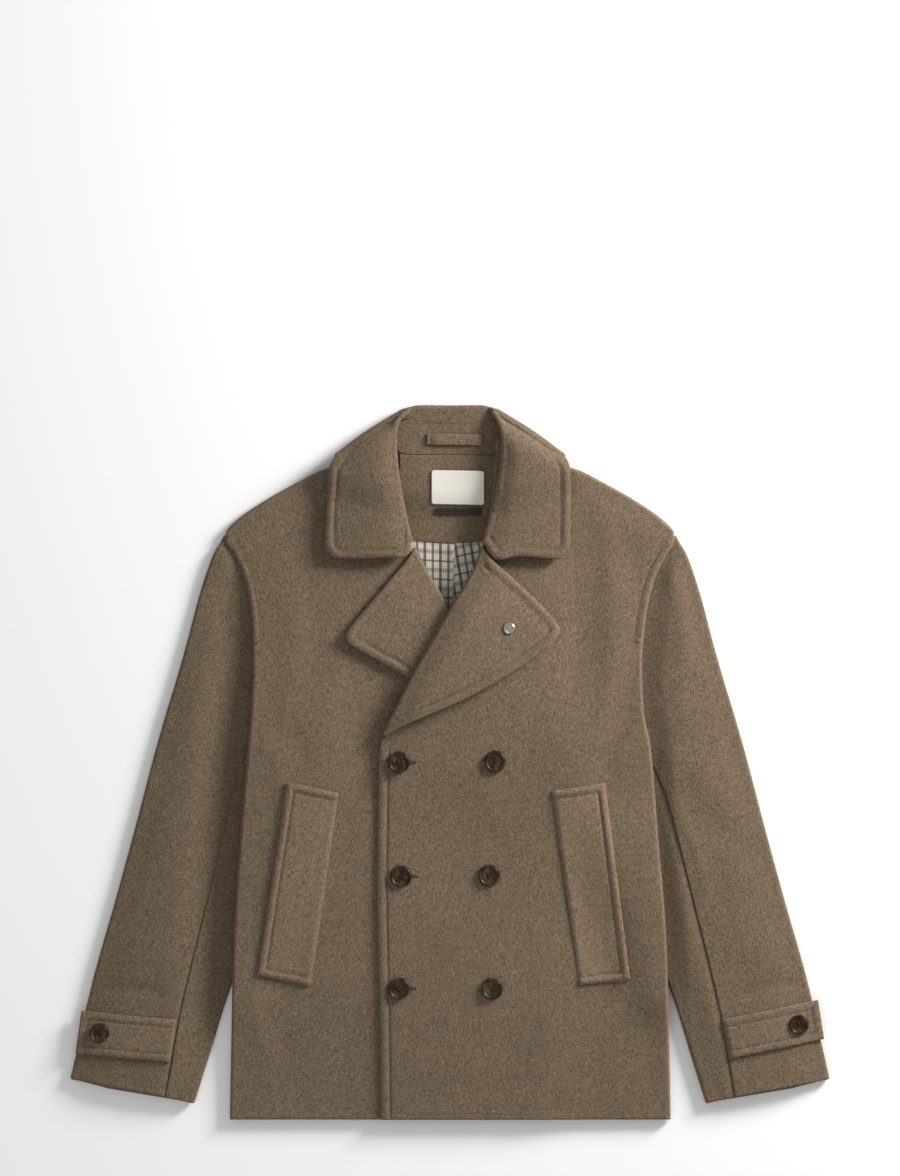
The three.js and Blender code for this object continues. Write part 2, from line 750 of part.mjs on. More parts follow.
// Stations of a front leaf from its foot up to the shoulder fold
function collarLeaf(side) {
  const sign = SIDES[side];
  const inset = collarHalf + FOLD_REACH;
  const first = foldPoint(0, inset);
  const last = foldPoint(1, inset);
  const edges = {
    start: (b) => foldPoint(b, inset),
    end: edge(COLLAR_FOOT[side]),
    near: edge([{ e: first.x, y: first.y }, ...COLLAR_ROLL[side]]),
    far: edge([{ e: last.x, y: last.y }, ...COLLAR_LEAF[side]]),
  };
  return [1, 0.93, 0.78, 0.6, 0.42, 0.26, 0.12, 0].map((a) => {
    const roll = patchPoint(edges, a, 0);
    const into = patchPoint(edges, a, 0.3).sub(roll).normalize();
    const over = smooth(0, 0.2, a);
    const rest = (p, lift) => frontFace(side, sign * p.x, p.y) + COLLAR_REST + collarHalf + lift;
    const stand = lerp(FOLD_HEIGHT.stand, rest(roll.clone().addScaledVector(into, 8), 0), over);
    const fall = COLLAR_ACROSS.map((b) => {
      const p = patchPoint(edges, a, b);
      const lift = COLLAR_PUFF * (1 - smooth(0.06, 0.55, b)) + LEAF_LIFT;
      const z = lerp(lerp(FOLD_HEIGHT.near, FOLD_HEIGHT.far, b), rest(p, lift), over);
      return new THREE.Vector3(sign * p.x, p.y, z);
    });
    return collarStation(sign, roll, into, stand, fall);
  });
}

// Stations of the fall under the back neck, from the right shoulder fold to the left one
function collarBack() {
  const inset = collarHalf + FOLD_REACH;
  const mirror = (p) => new THREE.Vector2(-p.x, p.y);
  const edges = {
    start: (b) => mirror(foldPoint(b, inset)),
    end: (b) => foldPoint(b, inset),
    near: (a) => {
      const top = foldPoint(0, inset);
      return new THREE.Vector2(lerp(-top.x, top.x, a), lerp(COLLAR_TOP_Y, top.y, (2 * a - 1) ** 8));
    },
    far: (a) => {
      const low = foldPoint(1, inset);
      return new THREE.Vector2(lerp(-low.x, low.x, a), lerp(FALL_EDGE_Y, low.y, (2 * a - 1) ** 2));
    },
  };
  return [0, 0.07, 0.2, 0.36, 0.5, 0.64, 0.8, 0.93, 1].map((a) => {
    const roll = patchPoint(edges, a, 0);
    const into = patchPoint(edges, a, 0.3).sub(roll).normalize();
    const fall = COLLAR_ACROSS.map((b) => {
      const p = patchPoint(edges, a, b);
      return new THREE.Vector3(p.x, p.y, collarHalf);
    });
    return collarStation(1, roll, into, 5.6 + collarHalf, fall);
  });
}

// Stations round a shoulder fold, between the leaf's last station and the back's first one
function collarTurn(side, leafEnd, backEnd) {
  const sign = SIDES[side];
  return [45, 90, 135].map((angle) => {
    const radians = THREE.MathUtils.degToRad(angle);
    const part = (1 - Math.cos(radians)) / 2;
    const out = FOLD_REACH * Math.sin(radians);
    return leafEnd.map((from, i) => {
      const p = from.clone().lerp(backEnd[i], part);
      const across = i < leafEnd.length - COLLAR_ACROSS.length ? 0 : COLLAR_ACROSS[i - 6];
      const near = foldPoint(across, 10);
      const push = foldPoint(across, 0).sub(near).normalize();
      const share = i < 3 ? 0 : [0.35, 0.75, 0.95][i - 3] ?? 1;
      p.x += sign * push.x * out * share;
      p.y += push.y * out * share;
      return p;
    });
  });
}

function collar() {
  const right = collarLeaf("right");
  const back = collarBack();
  const left = collarLeaf("left").reverse();
  const rows = [
    ...right,
    ...collarTurn("right", right[right.length - 1], back[0]),
    ...back,
    ...collarTurn("left", left[0], back[back.length - 1]).reverse(),
    ...left,
  ];
  return wallAbout(rows, COLLAR_CLOTH);
}

// A thin piece lying on a given height, over rows of plan points
function laidOn(rows, height, thickness) {
  const sheet = (up) => rows.map((row) => row.map(({ x, y }) =>
    new THREE.Vector3(x, y, height(x, y) + up)));
  return solidBetween(sheet(thickness), sheet(0));
}

// Rows of plan points that fill a box, or the four-cornered outline of an applied piece
function boxRows({ left, right, foot, head }, across, up) {
  return spread(foot, head, up).map((y) => spread(left, right, across).map((x) => ({ x, y })));
}
function cornerRows(side, corners, across, up) {
  const sign = SIDES[side];
  const [a, b, c, d] = corners.map(({ e, y }) => new THREE.Vector2(sign * e, y));
  return spread(0, 1, up).map((rise) => spread(0, 1, across).map((part) => {
    const low = a.clone().lerp(b, part);
    return low.lerp(d.clone().lerp(c, part), rise);
  }));
}

const facingFace = (x, y) => underBack(x, y) + BACK_CLOTH + SEAM_GAP;

// Columns right and left of the middle
const bothWays = (columns) => [...columns.slice(1).map((x) => -x).reverse(), ...columns];
const facingFoot = (x) => FACING_FOOT_Y + 7 * (x / FACING_HALF_WIDTH) ** 2;

function backNeckFacing() {
  const columns = bothWays(NECK_COLUMNS);
  const rows = [columns.map((x) => ({ x, y: facingFoot(x) }))];
  for (const rise of YOKE_RISE) {
    const gap = rise === 1 ? SEAM_GAP : 0;
    rows.push(columns.map((x) => ({ x, y: yokeHeight(x, rise) - gap })));
  }
  return laidOn(rows, facingFace, FACING_CLOTH);
}

function lining() {
  const rows = [0, 0.5, 1].map((rise) => bothWays(NECK_COLUMNS).map((column) => {
    const x = column * lerp(0.45, 1, rise);
    return { x, y: lerp(LINING_FOOT_Y, facingFoot(x) - SEAM_GAP, rise) };
  }));
  return laidOn(rows, facingFace, LINING_CLOTH);
}

const STAND_FOOT = FALL_LIFT + 0.1;
const STAND_FACE = STAND_FOOT + COLLAR_CLOTH - 0.4;
function collarStand() {
  const columns = bothWays([...NECK_COLUMNS, STAND_HALF_WIDTH]);
  const rows = [0, 0.5, 1].map((rise) => columns.map((x) => {
    const head = COLLAR_SEAM_Y - 6 * (x / STAND_HALF_WIDTH) ** 4;
    return { x, y: lerp(neckLine(x) + SEAM_GAP + 2 * (x / 62) ** 2, head, rise) };
  }));
  return laidOn(rows, () => STAND_FOOT, STAND_FACE - STAND_FOOT);
}

function hangerLoop() {
  const top = STAND_FACE + SEAM_GAP;
  const height = (x) => {
    const t = (2 * (x - LOOP.left)) / (LOOP.right - LOOP.left) - 1;
    return top + LOOP.rise * (1 - smooth(0.55, 0.92, Math.abs(t)));
  };
  return laidOn(boxRows(LOOP, 14, 1), height, LOOP_CLOTH);
}

// Height at which a round piece rests on a face
function restOn(face, x, y, radius) {
  const around = spread(0, 2 * Math.PI, 8).map((turn) =>
    face(x + radius * Math.cos(turn), y + radius * Math.sin(turn)));
  return Math.max(face(x, y), ...around) + SEAM_GAP;
}

// A round button with a raised rim, a dished middle and four holes
function button(radius) {
  const profile = [
    [0, 0],
    [radius * 0.7, 0],
    [radius * 0.96, BUTTON_HEIGHT * 0.3],
    [radius, BUTTON_HEIGHT * 0.62],
    [radius * 0.93, BUTTON_HEIGHT],
    [radius * 0.8, BUTTON_HEIGHT],
    [radius * 0.66, BUTTON_HEIGHT * 0.68],
    [0, BUTTON_HEIGHT * 0.62],
  ].map(([x, y]) => new THREE.Vector2(x, y));
  let body = solidOf(new THREE.LatheGeometry(profile, 14).rotateX(Math.PI / 2));
  for (const [sx, sy] of [[-1, -1], [1, -1], [1, 1], [-1, 1]]) {
    const hole = new THREE.CylinderGeometry(BUTTON_HOLE_RADIUS, BUTTON_HOLE_RADIUS, 12, 5);
    hole.rotateX(Math.PI / 2);
    hole.translate((sx * BUTTON_HOLE_SPREAD) / 1.3, (sy * BUTTON_HOLE_SPREAD) / 1.3, 0);
    body = body.subtract(solidOf(hole));
  }
  return geometryOf(body);
}

// A low round stud with a domed top
function stud() {
  const { radius, height } = STUD;
  const profile = [
    [0, 0],
    [radius * 0.96, 0],
    [radius, height * 0.35],
    [radius * 0.86, height * 0.72],
    [radius * 0.5, height * 0.95],
    [0, height],
  ].map(([x, y]) => new THREE.Vector2(x, y));
  return geometryOf(solidOf(new THREE.LatheGeometry(profile, 14).rotateX(Math.PI / 2)));
}

// A closed geometry as a solid that can be cut, and back
function solidOf(source) {
  const bare = source.clone();
  bare.deleteAttribute("normal");
  bare.deleteAttribute("uv");
  const merged = mergeVertices(bare, 1e-4);
  const triangles = [];
  for (let k = 0; k < merged.index.count; k += 3) {
    const [a, b, c] = [0, 1, 2].map((n) => merged.index.getX(k + n));
    if (a !== b && b !== c && c !== a) triangles.push(a, b, c);
  }
  const positions = merged.attributes.position.array;
  if (volumeOf(positions, triangles) < 0) triangles.reverse();
  return new wasm.Manifold(new wasm.Mesh({
    numProp: 3,
    vertProperties: positions,
    triVerts: new Uint32Array(triangles),
  }));
}
function geometryOf(solid) {
  const mesh = solid.getMesh();
  const geometry = new THREE.BufferGeometry();
  geometry.setAttribute("position", new THREE.BufferAttribute(mesh.vertProperties, 3));
  geometry.setIndex(new THREE.BufferAttribute(mesh.triVerts, 1));
  geometry.computeVertexNormals();
  return geometry;
}

// The coat
const coat = new THREE.Group();
function add(name, geometry, color, roughness = 0.95, metalness = 0) {
  const material = new THREE.MeshStandardMaterial({ color, roughness, metalness });
  const mesh = new THREE.Mesh(geometry, material);
  mesh.name = name;
  coat.add(mesh);
  return mesh;
}

add("back", backPanel(), WOOL);
add("back_neck_facing", backNeckFacing(), FACING_WOOL);
add("lining", lining(), LINING_COLOUR, 0.7);
add("collar", collar(), WOOL);
add("collar_stand", collarStand(), WOOL);
add("hanger_loop", hangerLoop(), WOOL);
const onFacing = (x, y) => facingFace(x, y) + FACING_CLOTH + LABEL_REST;
add("label_plain", laidOn(boxRows(LABEL, 2, 6), onFacing, LABEL_CLOTH), LABEL_COLOUR, 0.8);
add("label_small", laidOn(boxRows(SMALL_LABEL, 2, 2), onFacing, LABEL_CLOTH), DARK_LABEL_COLOUR, 0.8);

for (const side of Object.keys(SIDES)) {
  add(`front_${side}`, frontPanel(side), WOOL);
  add(`sleeve_upper_${side}`, upperSleeve(side), WOOL);
  add(`sleeve_under_${side}`, underSleeve(side), WOOL);
  add(`lapel_${side}`, lapel(side), WOOL);
  const onFront = (x, y) => frontFace(side, x, y) + WELT_REST;
  const onSleeve = (x, y) => sleeveFace(side, x, y) + SEAM_GAP;
  const onStrap = (x, y) => onSleeve(x, y) + STRAP_CLOTH;
  const welt = cornerRows(side, WELT_CORNERS[side], 5, 10);
  add(`pocket_welt_${side}`, laidOn(welt, onFront, WELT_CLOTH), WOOL);
  const strap = cornerRows(side, STRAP_CORNERS[side], 7, 2);
  add(`cuff_strap_${side}`, laidOn(strap, onSleeve, STRAP_CLOTH), WOOL);
  const { e, y } = CUFF_BUTTONS[side];
  const cuffButton = add(`button_cuff_${side}`, button(CUFF_BUTTON_RADIUS), HORN, 0.35);
  const x = SIDES[side] * e;
  cuffButton.position.set(x, y, restOn(onStrap, x, y, CUFF_BUTTON_RADIUS));
}

const leftFace = (x, y) => frontFace("left", x, y);
FRONT_BUTTONS.forEach(({ x, y }, i) => {
  const mesh = add(`button_front_${i + 1}`, button(FRONT_BUTTON_RADIUS), HORN, 0.35);
  mesh.position.set(x, y, restOn(leftFace, x, y, FRONT_BUTTON_RADIUS));
});
const studMesh = add("lapel_stud", stud(), METAL, 0.3, 1);
const lapelFace = (x, y) => leftFace(x, y) + LAPEL_REST.left + LAPEL_CLOTH;
studMesh.position.set(STUD.x, STUD.y, restOn(lapelFace, STUD.x, STUD.y, STUD.radius) + STUD_REST);

export default coat;
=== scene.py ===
"""A double-breasted wool pea coat, laid flat on its back and seen from straight above.

Shapes are worked out in millimetres, in the frame of the solids: +X is the wearer's left, +Y runs
from the hem to the collar and +Z is up from the floor. Every cloth piece is one closed skin between
two grids of points that meet at its rim. Heights are added up from the layers below a piece, so
that each layer follows the ones under it.
"""

import math

import bpy
import numpy as np
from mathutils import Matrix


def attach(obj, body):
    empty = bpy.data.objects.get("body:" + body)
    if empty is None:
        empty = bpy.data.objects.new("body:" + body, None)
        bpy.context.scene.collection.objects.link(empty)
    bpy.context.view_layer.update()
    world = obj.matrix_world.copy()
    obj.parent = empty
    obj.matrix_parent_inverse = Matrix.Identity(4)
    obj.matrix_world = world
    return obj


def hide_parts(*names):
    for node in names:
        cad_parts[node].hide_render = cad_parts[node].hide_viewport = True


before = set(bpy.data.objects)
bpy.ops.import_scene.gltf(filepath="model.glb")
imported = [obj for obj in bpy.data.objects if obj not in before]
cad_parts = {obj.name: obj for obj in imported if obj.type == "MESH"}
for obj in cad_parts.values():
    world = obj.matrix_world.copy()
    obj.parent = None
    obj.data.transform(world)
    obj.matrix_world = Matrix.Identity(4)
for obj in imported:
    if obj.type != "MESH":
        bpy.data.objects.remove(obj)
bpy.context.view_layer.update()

# Thicknesses of the cloth and clearances between the layers, as in the solids
BACK_CLOTH = 3.0
FRONT_CLOTH = 3.5
SLEEVE_CLOTH = 3.2
LAPEL_CLOTH = 4.0
COLLAR_CLOTH = 4.5
FACING_CLOTH = 1.7
LINING_CLOTH = 1.5
WELT_CLOTH = 2.7
STRAP_CLOTH = 3.0
LABEL_CLOTH = 1.0
LOOP_CLOTH = 2.2
SEAM_GAP = 0.3
INNER_GAP = 2.3
NECK_GAP = 1.2

# How the layers lift each other, with slopes softer than those of the solids
SLEEVE_HEIGHT = 10.3
TUCKED_HEIGHT = {"right": 4.8, "left": 6.4}
SIDE_FALL = {"right": 0.45, "left": 0.3}
TUCK_LIFT = TUCKED_HEIGHT["left"] + 1.4
TUCK_SLOPE = 72
TUCK_HEAD = 185
FALL_LIFT = COLLAR_CLOTH + 1.2
LAP_LIFT = FRONT_CLOTH + 0.4
LAP_EDGE = 85
LAP_END = 175
LAPEL_RISE = {"right": 2.4, "left": 6.9}
LAPEL_CREST = {"right": 52, "left": 28}
LAPEL_SINK = {"right": 0.3, "left": 0.36}
LAPEL_LIFT = 6.4
HIDDEN_RISE = {"below": (-170, -6), "beside": (-120, -6)}
HIDDEN_HEAD = (-40, 249)
LEAF_SINK = {"right": 0.85, "left": 0.4}
COLLAR_PUFF = 5.0
COLLAR_REST = 0.6
LEAF_LIFT = 4.8
SIDE_ROLL = {"right": 3.0, "left": 3.6}
WELT_REST = {"right": 0.9, "left": 0.2}
LAPEL_REST = {"right": 0.6, "left": 1.8}
LABEL_REST = 0.8
SLEEVE_CROWN = 3.4
SLEEVE_EDGE_SHARE = 0.8
SLEEVE_EDGE_WIDTH = 34
LOW_FLOOR = {"right": 21, "left": -2, "head": -2}
LOW_WIDTH = {"right": 76, "left": 27, "head": 19}
BODY_FILL = 8.5
SEAM_HEIGHT = 6.2

HEM_Y = -411
UNDERARM_Y = 21
TACK_Y = 137
SHOULDER_POINT_Y = 256
NECK_SEAM_Y = 354
NECK_Y = 372
SIDES = {"right": -1, "left": 1}

# Where one height passes into the next, from and to: up the coat, out from its middle line or, for
# the slope of the collar's fall, down from its edge
TUCK_FOOT = (-330, -268)
TUCK_TOP_Y = 14
FALL_SLOPE = (45, 8)
FALL_END = (143, 178)
GAP_SLOPE = (255, 290)
FILL_FOOT = (HEM_Y - 20, HEM_Y + 170)
FILL_HEAD = (150, 330)
SIDE_LEVELS = (160, 240)
WELT_TOP = (-60, 40)
SLEEVE_HEAD = (178, 245)
CUFF = (-400, -330)
FREE_OF_BODY = (-40, 40)

# The left front's further rise towards its side: how high, and from where, beside and above its pocket
LEFT_RISE = (2.2, 5.6)
LEFT_RISE_FROM = (188, 138)
LEFT_RISE_TO = 232
LEFT_RISE_FOOT = (HEM_Y, HEM_Y + 150)
LEFT_RISE_HEAD = (255, 300)

# Topstitching: how far in from an edge, how wide and deep its groove is, and the puffed edge outside it
STITCH_INSET = 10.8
GROOVE_WIDTH = 1.15
GROOVE_DEPTH = 1.4
EDGE_PUFF = 1.2
STITCH_LENGTH = 3.1
STITCH_PITCH = 4.2
THREAD = 0.75
FRONT_INSET = 11.0
FRONT_SEWN = {"right": (0.6, 0.3), "left": (1.1, 1.0)}
ARMHOLE_INSET = 9.5
WELT_INSET = 9.4
STRAP_INSET = 9.2
HEM_SPAN = {"right": ((-118, -110), (-84, -78)), "left": ((-84, -76), (104, 112))}


def table(columns, rows):
    """Columns of a table by name, each an array with one number a row."""
    return dict(zip(columns.split(), np.array(rows, float).T))


# Half width of the body from its hem to the shoulder point, then along the shoulder seam to the neck
BODY_EDGE = table("y right left", [
    (HEM_Y, 253.6, 254.1),
    (-273, 250.8, 251.3),
    (-195, 248.4, 248.4),
    (-89, 241.5, 239.8),
    (UNDERARM_Y, 232.3, 230.6),
    (58, 229.4, 223.1),
    (113, 227.1, 221.0),
    (158, 228.0, 224.5),
    (185, 230.8, 228.9),
    (214, 237.6, 236.9),
    (239, 248.4, 249.6),
    (SHOULDER_POINT_Y, 258.8, 258.8),
    (264, 258.0, 258.0),
    (279, 245.0, 245.0),
    (302, 212.0, 212.0),
    (325, 171.0, 171.0),
    (337, 147.0, 147.0),
    (342.5, 128.0, 128.0),
    (355, 98.0, 98.0),
    (NECK_Y, 65.0, 65.0),
])

# Inner edge of each front, measured towards its own side: front edge, roll line, neck
FRONT_INNER = table("y e", [
    (HEM_Y, -79.4),
    (-283, -81.0),
    (-153, -83.6),
    (7, -81.5),
    (26, -79.0),
    (34, -71.0),
    (45, -61.5),
    (57, -55.5),
    (98, -36.0),
    (147, -7.5),
    (182, 12.5),
    (221, 35.0),
    (248, 46.0),
    (300, 56.0),
    (340, 60.0),
    (NECK_Y, 62.0),
])

# Outline of each sleeve and its two seams, as half widths from the coat's middle line
SLEEVE_OUTER = table("y x", [
    (-364.6, 437.0),
    (-342, 432.0),
    (-250, 411.0),
    (-158, 385.0),
    (-66, 360.0),
    (3, 342.0),
    (49, 329.0),
    (95, 315.0),
    (141, 302.0),
    (187, 290.0),
    (210, 283.0),
    (233, 275.0),
    (SHOULDER_POINT_Y, 265.5),
])
SLEEVE_INNER = table("y x", [
    (-392.7, 294.4),
    (-342, 278.5),
    (-273, 257.5),
    (-190, 228.0),
    (-120, 203.0),
    (-50, 180.0),
    (UNDERARM_Y, 158.0),
])
FOREARM_SEAM = table("y x", [
    (-384.7, 327.8),
    (-345, 320.9),
    (-289, 311.0),
    (-174, 283.5),
    (-63, 255.5),
    (-13, 242.0),
    (UNDERARM_Y, 231.5),
])
ELBOW_SEAM = table("y x", [
    (-376, 392.0),
    (-250, 355.0),
    (-150, 320.0),
    (-60, 275.0),
    (UNDERARM_Y, 231.5),
])
CUFF_FEET = {"outer": -364.6, "seam": -384.7, "inner": -392.7, "elbow": -376}

# Collar edges, in each side's own outward distance e: over the shoulder, front roll, leaf edge, foot
COLLAR_FOLD = table("e y", [
    (46, 410.8),
    (53, 408.2),
    (65, 401.0),
    (79, 392.5),
    (94, 383.0),
    (111, 371.0),
    (124, 361.0),
    (130.5, 356.3),
    (133.6, 352.5),
])
COLLAR_ROLL = {
    "right": table("e y", [(59.5, 390), (61, 356), (55, 311), (46, 267), (42, 256)]),
    "left": table("e y", [(57, 386), (58.7, 352), (51.8, 311), (41, 268), (37, 253)]),
}
COLLAR_LEAF = {
    "right": table("e y", [(138.4, 338), (141, 310), (143.5, 270), (143.5, 250), (139, 240.5)]),
    "left": table("e y", [(137.2, 338), (138.5, 310), (138, 270), (138, 250), (133.5, 240)]),
}
COLLAR_FOOT = {
    "right": table("e y", [(42, 256), (49.5, 238), (81, 235), (126, 234), (139, 240.5)]),
    "left": table("e y", [(37, 253), (53, 233.5), (80, 237), (122, 234), (133.5, 240)]),
}
COLLAR_TOP_Y = 411
FALL_EDGE_Y = 321
FALL_EDGE_RISE = 25
FALL_HALF_WIDTH = 137.5
COLLAR_SEAM_Y = 388.3
COLLAR_UNDERLAP = 22.2
ROLL_RADIUS = 3.6
FOLD_REACH = 6.5
FOLD_HEIGHT = {"stand": 8.0, "near": 11.6, "far": 19.2}

# Lapel edges, in each side's own outward distance
LAPEL_ROLL = [(-82, 24), (-66, 57), (-45, 98), (-17, 147), (3, 182), (26, 221)]
LAPEL_HEAD = {
    "right": table("e y", [(40, 249), (50, 233), (84, 192.6), (112, 159), (119.5, 146), (117, 137)]),
    "left": table("e y", [
        (36, 250), (52, 230), (70, 214), (103.5, 182.3), (123, 160), (125, 149), (117, 136),
    ]),
}
LAPEL_LOWER = {
    "right": table("e y", [(-79, 27), (-50, 44), (-17, 61), (30, 88), (84, 118), (117, 137)]),
    "left": table("e y", [(-79, 27), (-50, 44), (-17, 58), (26.5, 78), (70, 103), (117, 136)]),
}

# Corners of the applied pieces, in each side's own outward distance
WELT_CORNERS = {
    "right": table("e y", [(221.4, -243.7), (160.1, -257.3), (127.8, -34.6), (186.8, -21.7)]),
    "left": table("e y", [(207.1, -249.2), (149.0, -255.6), (116.8, -32.1), (178.1, -22.7)]),
}
STRAP_CORNERS = {
    "right": table("e y", [(431.0, -334.5), (321.8, -344.4), (314.6, -295.8), (424.0, -285.5)]),
    "left": table("e y", [(430.5, -318.0), (322.6, -340.5), (313.2, -295.3), (423.5, -273.0)]),
}

FRONT_BUTTONS = table("x y turn", [
    (-58.7, 0.6, 14),
    (-56.4, -130.5, 62),
    (-58.7, -259.3, 40),
    (51.8, 1.7, -20),
    (44.9, -129.4, 8),
    (48.3, -259.3, 31),
])
CUFF_BUTTONS = {"right": (403.3, -311, -62), "left": (401.1, -301.2, 12)}
FRONT_BUTTON_RADIUS = 12.6
CUFF_BUTTON_RADIUS = 11.4
BUTTON_HEIGHT = 4.0
STUD = {"x": 67.9, "y": 154.7, "radius": 7.0, "height": 3.4}
LABEL = {"left": -21.2, "right": 39.3, "foot": 297.2, "head": 336.2}
SMALL_LABEL = {"left": -17.0, "right": 35.7, "foot": 285.0, "head": 292.7}
LOOP = {"left": -26.5, "right": 37.6, "foot": 365.0, "head": 377.8, "rise": 1.2}
STAND_HALF_WIDTH = 65
FACING_HALF_WIDTH = 58
FACING_FOOT_Y = 252.4
LINING_FOOT_Y = 166

# How far a fold's line bows, as a share of its length
FOLD_BOW = 0.06
# Soft folds of the fronts: a ridge (+) or trough (-) from one point to another, in the coat's own x
FRONT_FOLDS = table("x0 y0 x1 y1 width height", [
    (136, 250, 131, 30, 15, -1.3),
    (172, 300, 168, 20, 15, 2.0),
    (208, 260, 203, 60, 12, -1.0),
    (205, 90, 150, -60, 15, -1.1),
    (214, 40, 176, -10, 12, 1.0),
    (-196, 250, -186, 60, 17, 1.1),
    (-165, 215, -160, 60, 15, -0.9),
    (-212, 70, -160, -20, 13, -1.0),
    (-214, 20, -182, -60, 12, 0.8),
    (-120, -300, -138, -400, 18, -0.9),
    (-205, -290, -176, -396, 16, -1.0),
    (-226, -270, -214, -380, 11, 0.7),
    (86, -215, 60, -390, 20, -1.1),
    (112, -290, 100, -400, 16, 0.9),
    (215, -262, 225, -400, 14, -1.0),
    (190, -300, 186, -395, 13, 0.6),
    (-20, 20, 60, -70, 24, 0.8),
    (20, -60, 70, -130, 15, -0.7),
    (-30, -150, 10, -240, 20, 0.7),
    (-125, 20, -100, -120, 20, 0.8),
    (232, 262, 150, 320, 17, 0.9),
    (-232, 262, -150, 318, 15, 0.8),
])
# Soft folds of the sleeves, by side: the same, in each side's own outward distance
SLEEVE_FOLDS = {
    "right": table("x0 y0 x1 y1 width height", [
        (250, 236, 262, 120, 12, 1.3),
        (262, 40, 330, -40, 14, -1.1),
        (280, -30, 352, -96, 17, 0.9),
        (270, -120, 345, -150, 15, -0.9),
        (300, -200, 392, -262, 15, 0.8),
        (322, -269, 404, -262, 7, -2.2),
        (318, -352, 410, -356, 9, -0.7),
        (300, -180, 312, -260, 9, -0.8),
    ]),
    "left": table("x0 y0 x1 y1 width height", [
        (248, 240, 268, 110, 13, 1.5),
        (268, 96, 306, 20, 15, -0.8),
        (262, 8, 330, -70, 17, 1.0),
        (290, -60, 356, -118, 15, -1.0),
        (268, -66, 296, -170, 8, 1.2),
        (306, -210, 398, -236, 17, 0.8),
        (326, -272, 404, -253, 7, -2.0),
        (322, -356, 412, -340, 10, -0.6),
    ]),
}


def smooth(a, b, t):
    """0 at a and 1 at b, with a soft start and end."""
    part = np.clip((np.asarray(t, float) - a) / (b - a), 0, 1)
    return part * part * (3 - 2 * part)


def lerp(a, b, t):
    """The mix of a and b, a at 0 and b at 1."""
    return a + (b - a) * t


def curve(xs, ys):
    """Cubic pieces that never overshoot their points: at each one the slope is the harmonic mean of
    the slopes beside it, or nought where they differ in sign."""
    order = np.argsort(xs)
    xs, ys = xs[order], ys[order]
    steps = np.diff(xs)
    slopes = np.diff(ys) / steps
    before, after = slopes[:-1], slopes[1:]
    same = before * after > 0
    inner = np.where(same, 2 * before * after / np.where(same, before + after, 1), 0)
    tangents = np.concatenate([slopes[:1], inner, slopes[-1:]])

    def at(x):
        held = np.clip(x, xs[0], xs[-1])
        i = np.clip(np.searchsorted(xs, held, side="right") - 1, 0, len(xs) - 2)
        t = (held - xs[i]) / steps[i]
        return (
            (2 * t**3 - 3 * t**2 + 1) * ys[i]
            + (t**3 - 2 * t**2 + t) * steps[i] * tangents[i]
            + (3 * t**2 - 2 * t**3) * ys[i + 1]
            + (t**3 - t**2) * steps[i] * tangents[i + 1]
        )

    return at


def edge(points):
    """A smooth line through plan points, walked by its length from 0 to 1: cubic pieces, each point's
    slope being half the step from the point before it to the one after it."""
    points = np.asarray(points, float)
    held = np.vstack([points[:1], points, points[-1:]])
    t = np.linspace(0, 1, 24, endpoint=False)[:, None]
    pieces = []
    for a, b, c, d in zip(held, held[1:], held[2:], held[3:]):
        out, into = (c - a) / 2, (d - b) / 2
        cubic = 2 * b - 2 * c + out + into
        square = 3 * c - 3 * b - 2 * out - into
        pieces.append(cubic * t**3 + square * t**2 + out * t + b)
    line = np.vstack([*pieces, points[-1:]])
    length = np.concatenate([[0], np.cumsum(np.linalg.norm(np.diff(line, axis=0), axis=1))])
    length /= length[-1]

    def at(where):
        held = np.clip(where, 0, 1)
        return np.stack([np.interp(held, length, line[:, k]) for k in (0, 1)], -1)

    return at


def rows_of(columns):
    """The points of a table's e and y columns."""
    return np.stack([columns["e"], columns["y"]], 1)


body_edge = {side: curve(BODY_EDGE["y"], BODY_EDGE[side]) for side in SIDES}
front_inner = curve(FRONT_INNER["y"], FRONT_INNER["e"])
sleeve_outer = curve(SLEEVE_OUTER["y"], SLEEVE_OUTER["x"])
sleeve_inner = curve(SLEEVE_INNER["y"], SLEEVE_INNER["x"])
forearm_seam = curve(FOREARM_SEAM["y"], FOREARM_SEAM["x"])
elbow_seam = curve(ELBOW_SEAM["y"], ELBOW_SEAM["x"])


def distance_to(line, points):
    """Distance in plan from points to a line: to the nearest of its straight pieces."""
    flat = points[..., :2].reshape(-1, 2)
    best = np.full(len(flat), np.inf)
    for a, b in zip(line[:-1], line[1:]):
        along = b - a
        t = np.clip((flat - a) @ along / max(along @ along, 1e-9), 0, 1)
        best = np.minimum(best, np.hypot(*(flat - a - t[:, None] * along).T))
    return best.reshape(points.shape[:-1])


def folds(x, y, rows):
    """Sum of soft folds: each is a bell across its own bowed line, and dies out at both ends."""
    total = np.zeros(np.broadcast(x, y).shape)
    for x0, y0, x1, y1, width, height in np.stack(list(rows.values()), 1):
        length = math.hypot(x1 - x0, y1 - y0)
        ux, uy = (x1 - x0) / length, (y1 - y0) / length
        along = ((x - x0) * ux + (y - y0) * uy) / length
        across = (x - x0) * uy - (y - y0) * ux
        bow = across + FOLD_BOW * length * np.sin(np.pi * np.clip(along, 0, 1))
        fade = smooth(-0.3, 0.35, along) * (1 - smooth(0.65, 1.3, along))
        total = total + height * fade * np.exp(-((bow / width) ** 2))
    return total


